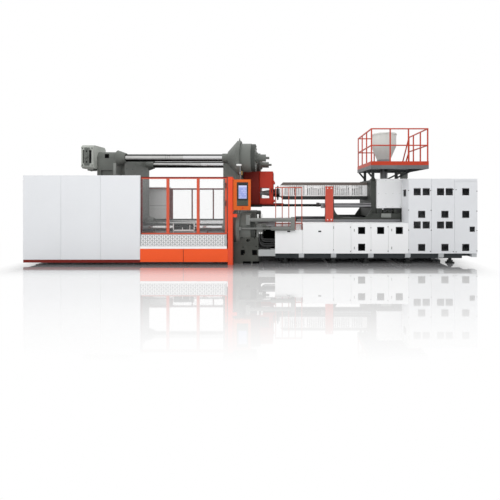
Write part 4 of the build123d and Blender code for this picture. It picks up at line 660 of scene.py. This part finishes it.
def tread_pattern():
    """Raised lozenges of both tread panels, within their width."""
    low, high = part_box("tread_panels")
    for side, x0 in TREAD_X0.items():
        shape = Shape()
        for column in range(int((TREAD_X1 - x0) / TREAD_PITCH_X)):
            x = x0 + (column + 0.5) * TREAD_PITCH_X
            for row in range(TREAD_ROWS):
                tilt = math.radians(45 if (row + column) % 2 else -45)
                z = low.z + TREAD_FIRST_Z + row * TREAD_PITCH_Z
                if z < high.z - TREAD_MARGIN_Z:
                    shape.lozenge(Vector((x, side * TREAD_FACE_Y, z)), side, *LOZENGE_SIZE, tilt)
        shape.made("tread_lozenges_" + end_name(side), "root", "tread_plate", LOZENGE)


# Bolt rings: x of the face, radius of the circle, count, radius of a head, turn
CYLINDER_BOLTS = (0.062, 0.385, 18, 0.019, 0.17)
CAP_BOLTS = (0.129, 0.142, 8, 0.012, 0.2)
FLANGE_BOLTS = (-0.396, 0.495, 24, 0.018, 0.1)


def bolt_ring(shape, ring, y, z, keep=None):
    """Bolts round a tie bar, with their heads to the injection end."""
    x, circle, count, radius, turn = ring
    shape.bolts((x, y, z), (1, 0, 0), circle, count, radius, turn, keep)


def on_flange(point):
    """True where the round flange stands clear of the platen's body."""
    return point.z > 2.95 or abs(point.y) > 1.2


def platen_bolts():
    """Bolts of the clamp cylinders and their caps, and of the flanges at the upper bars."""
    shape = Shape()
    for y, z in BARS:
        bolt_ring(shape, CYLINDER_BOLTS, y, z)
        bolt_ring(shape, CAP_BOLTS, y, z)
        if z > AXIS_Z:
            bolt_ring(shape, FLANGE_BOLTS, y, z, on_flange)
    shape.made("cylinder_bolts", "root", "machined_steel", CAST)


OIL_LINE = [
    (-0.377, -1.633, 2.99), (-0.377, -1.62, 2.85), (-0.377, -1.57, 2.64),
    (-0.39, -1.52, 2.2), (-0.44, -1.45, 1.75), (-0.45, -1.42, 1.53),
]


def platen_fittings():
    """Connector, oil line and filter on the front edge of the fixed platen."""
    connector_y, connector_z = -1.633, 3.012
    filter_y = -1.60
    shape = Shape()
    shape.box((-0.484, -0.338), (-1.665, -1.60), (2.985, 3.04), 0.012)
    shape.made("oil_connector", "root", "white_cover", PALE)
    shape = Shape()
    for x0, x1 in ((-0.50, -0.482), (-0.34, -0.322)):
        shape.bar((x0, connector_y, connector_z), (x1, connector_y, connector_z), 0.021, 16)
    shape.pipe(OIL_LINE, 0.013)
    shape.box((-0.40, -0.354), (-1.645, -1.59), (2.74, 2.80), 0.006)
    shape.made("oil_line", "root", "machined_steel", STEEL)
    shape = Shape()
    shape.bar((-0.330, filter_y, 2.71), (-0.330, filter_y, 2.83), 0.020, 16)
    shape.bar((-0.375, filter_y, 2.77), (-0.33, filter_y, 2.77), 0.012, 12)
    shape.made("line_filter", "root", "bronze", MATERIALS["bronze"])


LOCK_PLATE = 0.03
LOCK_PLATE_HALF_Z = 0.27
LUG_DROP = (-0.425, -0.355)


def lock_cylinder(shape, y, z, side):
    """Plate with openings for the guide pins, and the short cylinder of one half nut."""
    out = (0, side, 0)
    face = y + side * HOUSING_HALF
    outer = face + side * LOCK_PLATE
    depth = sorted((face, outer))
    for low, high in ((-0.075, -0.024), (0.024, 0.075)):
        upright = (z - LOCK_PLATE_HALF_Z, z + LOCK_PLATE_HALF_Z)
        shape.box((LOCK_X + low, LOCK_X + high), depth, upright, 0.006)
    for low, high in ((-LOCK_PLATE_HALF_Z, -0.195), (-0.135, 0.135), (0.195, LOCK_PLATE_HALF_Z)):
        shape.box((LOCK_X - 0.04, LOCK_X + 0.04), depth, (z + low, z + high), 0.006)
    barrel_end = face + side * 0.075
    shape.bar((LOCK_X, outer, z), (LOCK_X, barrel_end, z), 0.055, 28)
    shape.bar((LOCK_X, barrel_end, z), (LOCK_X, face + side * 0.085, z), 0.038, 20)
    shape.bolts((LOCK_X, outer, z), out, 0.067, 4, 0.009, 0.78)
    for dz in (-0.24, 0.24):
        shape.bolt((LOCK_X, outer, z + dz), out, 0.014)


def lock_parts():
    """Bolts, lugs and nut cylinders of the four lock housings, and the rods of the nuts."""
    x0, x1 = HOUSING_X
    shape = Shape()
    for y, z in BARS:
        side = 1 if y > 0 else -1
        for x in (x0 + 0.035, x1 - 0.04):
            for dz in (-0.26, 0.26):
                shape.bolt((x, y + side * HOUSING_HALF, z + dz), (0, side, 0), 0.016)
        lock_cylinder(shape, y, z, side)
        if z > AXIS_Z:
            lug_y = sorted((y + side * 0.08, y + side * 0.30))
            shape.box((x0 + 0.15, x1 - 0.04), lug_y, (z + LUG_DROP[0], z + LUG_DROP[1]), 0.012)
            screw_x, screw_y = x0 + 0.22, y + side * 0.2
            shape.bar((screw_x, screw_y, z - 0.44), (screw_x, screw_y, z - 0.42), 0.024, 6)
    shape.made("lock_cylinders", "moving_platen", "cast_grey", CAST)
    for side, body in ((-1, "lock_nuts_front"), (1, "lock_nuts_rear")):
        shape = Shape()
        y = side * BAR_Y
        for z in (AXIS_Z - BAR_DZ, AXIS_Z + BAR_DZ):
            shape.bar((LOCK_X, y + side * 0.255, z), (LOCK_X, y + side * 0.40, z), 0.022, 20)
        shape.made("lock_rods_" + end_name(side), body, "machined_steel", STEEL)


def moving_platen_parts():
    """Dark patch that stands for a recess in shade, and edge strip of the moving platen."""
    # Painted shade: a thin dark box where the platen shows a recess in shadow
    shape = Shape()
    for side in (-1, 1):
        face = side * MOVING_FACE_Y
        shape.box((-4.654, -4.53), sorted((face, face + side * 0.012)), (3.262, 3.387), 0.004)
    shape.made("platen_recess_shade", "moving_platen", "cast_grey", DARK)
    shape = Shape()
    for side in (-1, 1):
        face = side * MOVING_FACE_Y
        outer = face + side * 0.006
        shape.box((-4.39, -4.31), sorted((face, outer)), (2.73, 3.10), 0.002)
        for z in (2.78, 2.915, 3.05):
            shape.bolt((-4.35, outer, z), (0, side, 0), 0.009)
    shape.made("platen_strips", "moving_platen", "machined_steel", GREY_BOX)


FOOT_COVER_X = ((-0.372, -0.283), (-0.018, 0.126))
FOOT_PLUGS = ((-0.105, 0.715), (-0.33, 0.80), (0.055, 0.78), (-0.30, 0.50), (0.10, 0.52))
FOOT_WEDGE_X = ((-0.30, -0.064), (-0.003, 0.19))


def foot_parts():
    """Dark access covers, plugs and wedges of the platen foot."""
    shape = Shape()
    for x_limits in FOOT_COVER_X:
        shape.box(x_limits, (FOOT_Y - 0.006, -1.495), (0.256, 0.410), 0.006)
    for x, z in FOOT_PLUGS:
        shape.bar((x, -1.498, z), (x, -1.508, z), 0.017, 16)
    for x_limits in FOOT_WEDGE_X:
        shape.box(x_limits, (-1.545, -1.43), (0.002, 0.058), 0.01)
    shape.made("foot_covers", "root", "vent_black", DARK)


SENSOR_X = (-2.47, -1.81)
SENSOR_Y = (-1.46, -1.435)
SENSOR_POST = 0.022


def sensor_frame():
    """Pale frame behind the gate, with its dark plate."""
    x0, x1 = SENSOR_X
    y0, y1 = SENSOR_Y
    shape = Shape()
    for x in (x0, x1 - SENSOR_POST):
        shape.box((x, x + SENSOR_POST), SENSOR_Y, (0.50, 1.225), 0.004)
        shape.box((x, x + SENSOR_POST), (y1 - 0.002, -1.257), (0.50, 0.53), 0.004)
    shape.box(SENSOR_X, SENSOR_Y, (0.985, 1.03), 0.004)
    finger_y = (y0 + 0.004, y1 - 0.004)
    shape.box((x0 + 0.28, x0 + 0.295), finger_y, (1.028, 1.10), 0.003)
    shape.box((x1 - 0.15, x1 - 0.135), finger_y, (1.028, 1.17), 0.003)
    shape.made("sensor_frame", "root", "machined_steel", PALE)
    shape = Shape()
    shape.box((x0 + 0.018, x1 - 0.018), (y1 - 0.006, y1 + 0.006), (1.00, 1.22), 0.003)
    shape.made("sensor_plate", "root", "vent_black", DARK)


FERRULE_X = (0.20, 0.26)
FERRULE_Y = (-1.46, -1.41, -1.36)
FERRULE_TOP = 0.958
HOSE_BORE = 0.0183
STEM_X = (0.17, 0.29)
STEM_Y = -1.68


def hose_fittings():
    """Bright ferrules where the front hoses leave their block, and stems on the accumulator."""
    down = (0, 0, -1)
    shape = Shape()
    for x in FERRULE_X:
        for y in FERRULE_Y:
            shape.ring((x, y, FERRULE_TOP), down, 0.0245, HOSE_BORE, 0.055, 20)
            shape.ring((x, y, FERRULE_TOP), down, 0.029, HOSE_BORE, 0.018, 6)
    for x in STEM_X:
        shape.bar((x, STEM_Y, 1.402), (x, STEM_Y, 1.47), 0.022, 16)
        shape.bar((x, STEM_Y, 1.468), (x, STEM_Y, 1.515), 0.031, 6)
    shape.made("hose_ferrules", "root", "machined_steel", PALE)


BAY_X = (0.172, 0.688)
BAY_Z = (0.03, 1.06)
BAY_FACE_Y = 1.20
BAY_FLANGE_Y = (1.17, 1.204)


def bay_sheet():
    """Dark sheet behind the hoses, with its folded edges and bolts."""
    shape = Shape()
    shape.box(BAY_X, (BAY_FACE_Y, 1.208), BAY_Z, 0.002)
    for z in (BAY_Z[0], 1.04):
        shape.box(BAY_X, BAY_FLANGE_Y, (z, z + 0.02), 0.003)
    for x in (BAY_X[0], 0.682):
        shape.box((x, x + 0.006), BAY_FLANGE_Y, BAY_Z, 0.001)
    for x in (0.20, 0.43, 0.66):
        for z in (0.09, 0.55, 1.0):
            shape.bolt((x, BAY_FACE_Y, z), (0, -1, 0), 0.010)
    shape.made("bay_sheet", "root", "vent_black", DARK)


# Control panel

GLASS_X = (-0.414, -0.166)
GLASS_Y = (-1.7172, -1.7125)
GLASS_Z = (1.992, 2.388)


def display():
    """Lit glass in the frame of the screen."""
    shape = Shape()
    shape.box(GLASS_X, GLASS_Y, GLASS_Z, 0.001)
    shape.made("display", "control_panel", "screen_black", DISPLAY)


# Injection end

# Places of latches and hinge leaves in the 500 px frame
LATCHES = [
    (350.4, 227.1), (370.9, 227.8), (388.0, 226.9), (333.6, 249.8), (350.5, 251.3), (370.9, 250.2),
    (388.0, 251.2), (408.6, 190.4), (408.6, 210.1), (408.6, 230.0), (408.6, 249.9), (430.6, 190.4),
    (431.0, 210.3), (431.2, 230.2), (430.5, 251.5), (453.3, 189.5), (456.0, 189.7), (453.3, 251.6),
    (456.0, 251.9), (477.6, 191.2), (477.6, 211.1), (477.6, 230.5), (477.6, 250.9),
]
HINGES = [(354.3, 230.2), (391.7, 230.0), (354.3, 248.0), (391.7, 248.0), (333.6, 227.6)]


def cover_latches():
    """Quarter-turn latches and hinge leaves on the front of the base covers and the cabinet."""
    latches, leaves = Shape(), Shape()
    for px, py in LATCHES:
        x, z = place(px, py, BASE_Y)
        x = min(x, BASE_END_X)
        latches.bar((x, BASE_Y, z), (x, BASE_Y - 0.007, z), 0.014, 20)
        slot_y = (BASE_Y - 0.010, BASE_Y - 0.006)
        latches.box((x - 0.010, x + 0.010), slot_y, (z - 0.0025, z + 0.0025), 0.001)
    for px, py in HINGES:
        x, z = place(px, py, BASE_Y)
        leaf_y = (BASE_Y - 0.006, BASE_Y + 0.001)
        leaves.box((x - 0.010, x + 0.010), leaf_y, (z - 0.04, z + 0.04), 0.002)
    latches.made("cover_latches", "root", "black_plastic", BLACK)
    leaves.made("cover_hinges", "root", "machined_steel", GREY_BOX)


UNIT_SCREW_MARGIN = 0.06
UNIT_SCREW_GAPS = 8


def unit_screws():
    """Small screws in three rows along the sides of the unit cover."""
    low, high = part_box("unit_cover")
    length = high.x - low.x - 2 * UNIT_SCREW_MARGIN
    steps = range(UNIT_SCREW_GAPS + 1)
    xs = [low.x + UNIT_SCREW_MARGIN + step * length / UNIT_SCREW_GAPS for step in steps]
    shape = Shape()
    for side in (-1, 1):
        face = side * max(abs(low.y), abs(high.y))
        for z in (low.z + 0.05, (low.z + high.z) / 2, high.z - 0.06):
            for x in xs:
                shape.bar((x, face, z), (x, face + side * 0.004, z), 0.008, 12)
    shape.made("unit_screws", "carriage", "machined_steel", GREY_BOX)


def junction_boxes():
    """Junction box on the roof of the unit with its lead, and a box on the carriage."""
    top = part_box("unit_cover")[1].z
    lead_x = 5.0
    lead = [
        (lead_x, -0.42, top + 0.12), (lead_x, -0.34, top + 0.12),
        (lead_x, -0.30, top + 0.06), (lead_x, -0.29, top - 0.01),
    ]
    shape = Shape()
    shape.box((4.90, 5.10), (-0.62, -0.42), (top + 0.03, top + 0.22), 0.012)
    shape.box((4.88, 5.12), (-0.635, -0.405), (top + 0.215, top + 0.235), 0.006)
    for x in (4.93, 5.07):
        for y in (-0.59, -0.45):
            shape.bar((x, y, top), (x, y, top + 0.035), 0.014, 12)
    shape.pipe(lead, 0.011)
    shape.box((4.12, 4.44), (-0.945, DECK_SIDE_Y), (1.375, 1.505), 0.008)
    shape.made("junction_boxes", "carriage", "machined_steel", GREY_BOX)


def plate_steps():
    """Stepped block on the front plate of the carriage, and a cover on its side."""
    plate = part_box("carriage")[1].z
    shape = Shape()
    shape.box((3.83, 3.975), (-0.79, -0.60), (plate, plate + 0.035), 0.006)
    shape.box((3.86, 3.965), (-0.76, -0.64), (plate + 0.03, plate + 0.075), 0.006)
    shape.box((4.46, 4.74), (-0.935, DECK_SIDE_Y), (1.33, 1.50), 0.008)
    shape.made("plate_steps", "carriage", "cast_grey", NODE_MATERIALS["carriage"])


def transducer():
    """Position transducer beside the carriage cylinder."""
    y, z = -0.79, 1.83
    plate_x = 3.822
    shape = Shape()
    shape.bar((2.598, y, z), (plate_x, y, z), 0.011, 16)
    shape.bar((3.56, y, z), (plate_x, y, z), 0.02, 20)
    shape.made("transducer", "carriage", "chrome_rod", STEEL)


# Start, end and top of each valve block on the deck
VALVES = ((3.995, 4.165, 1.668), (4.20, 4.33, 1.62), (4.36, 4.49, 1.62), (4.55, 4.80, 1.65))
VALVE_FACE_Y = -0.87


def unit_valves():
    """Row of valves on the carriage deck, under the front edge of the unit cover."""
    coil_z = DECK_Z + 0.07
    blocks, coils = Shape(), Shape()
    for x0, x1, top in VALVES:
        blocks.box((x0, x1), (VALVE_FACE_Y, -0.70), (DECK_Z, top), 0.008)
        for x in (x0 + 0.02, x1 - 0.02):
            blocks.bolt((x, VALVE_FACE_Y, DECK_Z + 0.03), (0, -1, 0), 0.008)
        middle = (x0 + x1) / 2
        coils.bar((middle, VALVE_FACE_Y, coil_z), (middle, -0.895, coil_z), 0.034, 24)
        coils.bar((middle, -0.894, coil_z), (middle, -0.904, coil_z), 0.018, 6)
    blocks.made("valve_blocks", "carriage", "cast_grey", NODE_MATERIALS["carriage"])
    coils.made("valve_coils", "carriage", "black_plastic", BLACK)


def barrel_collar():
    """Dark clamping collar at the front of the barrel, with its two ears."""
    shape = Shape()
    shape.ring((0.722, 0, AXIS_Z), (1, 0, 0), 0.212, 0.151, 0.05)
    for low, high in ((0.205, 0.25), (-0.25, -0.205)):
        shape.box((0.725, 0.768), (-0.03, 0.03), (AXIS_Z + low, AXIS_Z + high), 0.006)
    shape.made("barrel_collar", "carriage", "machined_steel", DARK)


def shield_bolts():
    """Two bolts at the top and two at the bottom of the upright beside the barrel."""
    low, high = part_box("barrel_shield")
    shape = Shape()
    for x in (low.x + 0.07, low.x + 0.19):
        for z in (high.z - 0.06, low.z + 0.06):
            shape.bolt((x, low.y, z), (0, -1, 0), 0.016)
    shape.made("shield_bolts", "carriage", "machined_steel", PALE)


FASCIA_X = (6.184, 6.872)
FASCIA_Y = (-1.5485, -1.512)
FASCIA_Z = (2.524, 2.5935)


def cabinet_fascia():
    """White strip that closes the end bay above its panel."""
    shape = Shape()
    shape.box(FASCIA_X, FASCIA_Y, FASCIA_Z, 0.002)
    shape.made("cabinet_fascia", "root", "white_cover", MATERIALS["white_cover"])


FENCE_POST_X = (0.70, 0.902, 1.105, 1.307)
FENCE_FOOT_HALF = 0.03


def fence_feet():
    """Foot plates under the posts of the small guard rail."""
    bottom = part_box("base_fence")[0].z
    shape = Shape()
    for x in FENCE_POST_X:
        foot_x = (x - FENCE_FOOT_HALF, x + FENCE_FOOT_HALF)
        shape.box(foot_x, (-1.45, -1.39), (bottom, bottom + 0.008), 0.002)
    shape.made("fence_feet", "root", "orange_paint", NODE_MATERIALS["base_fence"])


# Surroundings

FLOOR_HALF = 60.0
# Area under the object where a shadow is painted on the floor, with soft edges
SHADOW_X = (-6.9, 6.5)
SHADOW_X_SOFT = 0.45
SHADOW_Y = (-20.0, 2.4)
SHADOW_Y_SOFT = 0.9
SHADOW_FRONT = (-3.7, -1.8)
# The mirror of the floor: distances from the middle, and its share from far to near
MIRROR_FAR = 7.6
MIRROR_NEAR = 1.75
MIRROR_STOPS = ((0.0, 0.0), (0.12, 0.08), (0.45, 0.38), (1.0, 0.50))


def floor_material():
    """Pale gloss: a painted shadow under the object, white around it, with a mirror that fades
    outwards.
    """
    shader = Shader("floor", (1, 1, 1), 1.0)
    shader.tree.nodes.remove(shader.bsdf)
    output = shader.tree.nodes["Material Output"]
    white = shader.node("ShaderNodeEmission")
    matt = shader.node("ShaderNodeBsdfDiffuse")
    gloss = shader.node("ShaderNodeBsdfGlossy")
    gloss.inputs["Roughness"].default_value = 0.03
    gloss.inputs["Color"].default_value = (1, 1, 1, 1)

    # Painted shadow: the floor's colour darkens under the object and in front of it, and its white glow
    # gives way there
    front = shader.remap(shader.axis("Y"), *SHADOW_FRONT, kind="SMOOTHSTEP")
    ends = shader.span("X", *SHADOW_X, SHADOW_X_SOFT)
    behind = shader.span("Y", *SHADOW_Y, SHADOW_Y_SOFT)
    dark = shader.math("MULTIPLY", shader.math("MULTIPLY", ends, behind), front)
    shader.link(shader.mix(dark, (0.9, 0.9, 0.9), (0.24, 0.24, 0.245)), matt.inputs["Color"])

    path = shader.node("ShaderNodeLightPath")
    seen = shader.math("MAXIMUM", path.outputs["Is Camera Ray"], path.outputs["Is Transmission Ray"])
    share = shader.math("MULTIPLY", shader.remap(dark, 0.0, 1.0, 1.0, 0.0), seen)
    lit = shader.node("ShaderNodeMixShader")
    shader.link(share, lit.inputs[0])
    shader.link(matt.outputs[0], lit.inputs[1])
    shader.link(white.outputs[0], lit.inputs[2])

    distance = shader.math("ABSOLUTE", shader.axis("Y"))
    near = shader.remap(distance, MIRROR_FAR, MIRROR_NEAR)
    mirror = shader.ramp(near, grey_stops(MIRROR_STOPS))
    surface = shader.node("ShaderNodeMixShader")
    shader.link(mirror, surface.inputs[0])
    shader.link(lit.outputs[0], surface.inputs[1])
    shader.link(gloss.outputs[0], surface.inputs[2])
    shader.link(surface.outputs[0], output.inputs["Surface"])
    return shader.material


def make_floor():
    size = FLOOR_HALF
    mesh = bpy.data.meshes.new("floor")
    corners = [(-size, -size, 0), (size, -size, 0), (size, size, 0), (-size, size, 0)]
    mesh.from_pydata(corners, [], [(0, 1, 2, 3)])
    mesh.materials.append(floor_material())
    floor = bpy.data.objects.new("floor", mesh)
    bpy.context.scene.collection.objects.link(floor)


SKY_LEVEL = 0.42


def make_world():
    """White to the camera, through panes and in reflections; a plain grey light otherwise."""
    world = bpy.data.worlds.new("studio")
    bpy.context.scene.world = world
    world.use_nodes = True
    tree = world.node_tree
    background = tree.nodes["Background"]
    background.inputs["Color"].default_value = (1, 1, 1, 1)
    path = tree.nodes.new("ShaderNodeLightPath")
    chosen = path.outputs["Is Camera Ray"]
    for ray in ("Is Transmission Ray", "Is Glossy Ray"):
        most = tree.nodes.new("ShaderNodeMath")
        most.operation = "MAXIMUM"
        tree.links.new(chosen, most.inputs[0])
        tree.links.new(path.outputs[ray], most.inputs[1])
        chosen = most.outputs[0]
    strength = tree.nodes.new("ShaderNodeMapRange")
    strength.inputs["To Min"].default_value = SKY_LEVEL
    strength.inputs["To Max"].default_value = 1.0
    tree.links.new(chosen, strength.inputs["Value"])
    tree.links.new(strength.outputs[0], background.inputs["Strength"])


# Name, place, target, size in metres and watts of each lamp
LAMPS = (
    ("top", (0, -1, 9), (0, 0, 1), (14, 6), 520),
    ("front", (-2, -11, 6), (0, 0, 1.6), (14, 5), 500),
    ("left", (-13, -4, 5), (-2, 0, 1.5), (6, 5), 150),
    ("right", (13, -6, 5), (3, 0, 1.5), (6, 5), 170),
    ("back", (0, 11, 6), (0, 0, 1.6), (14, 5), 240),
)


def make_lights():
    """Soft lamps that the camera and the reflections don't see."""
    for name, middle, target, size, watts in LAMPS:
        data = bpy.data.lights.new(name, "AREA")
        data.shape = "RECTANGLE"
        data.size, data.size_y = size
        data.energy = watts
        light = bpy.data.objects.new(name, data)
        light.location = middle
        aim = Vector(target) - Vector(middle)
        light.rotation_euler = aim.to_track_quat("-Z", "Y").to_euler()
        light.visible_camera = False
        light.visible_glossy = False
        bpy.context.scene.collection.objects.link(light)


for build in (
    make_camera, dress_nodes, tread_pattern, platen_bolts, platen_fittings, lock_parts,
    moving_platen_parts, foot_parts, sensor_frame, hose_fittings, bay_sheet, display,
    cover_latches, unit_screws, junction_boxes, plate_steps, transducer, unit_valves,
    barrel_collar, shield_bolts, cabinet_fascia, fence_feet, make_floor, make_world, make_lights,
):
    build()
bpy.context.scene.view_settings.view_transform = "Standard"
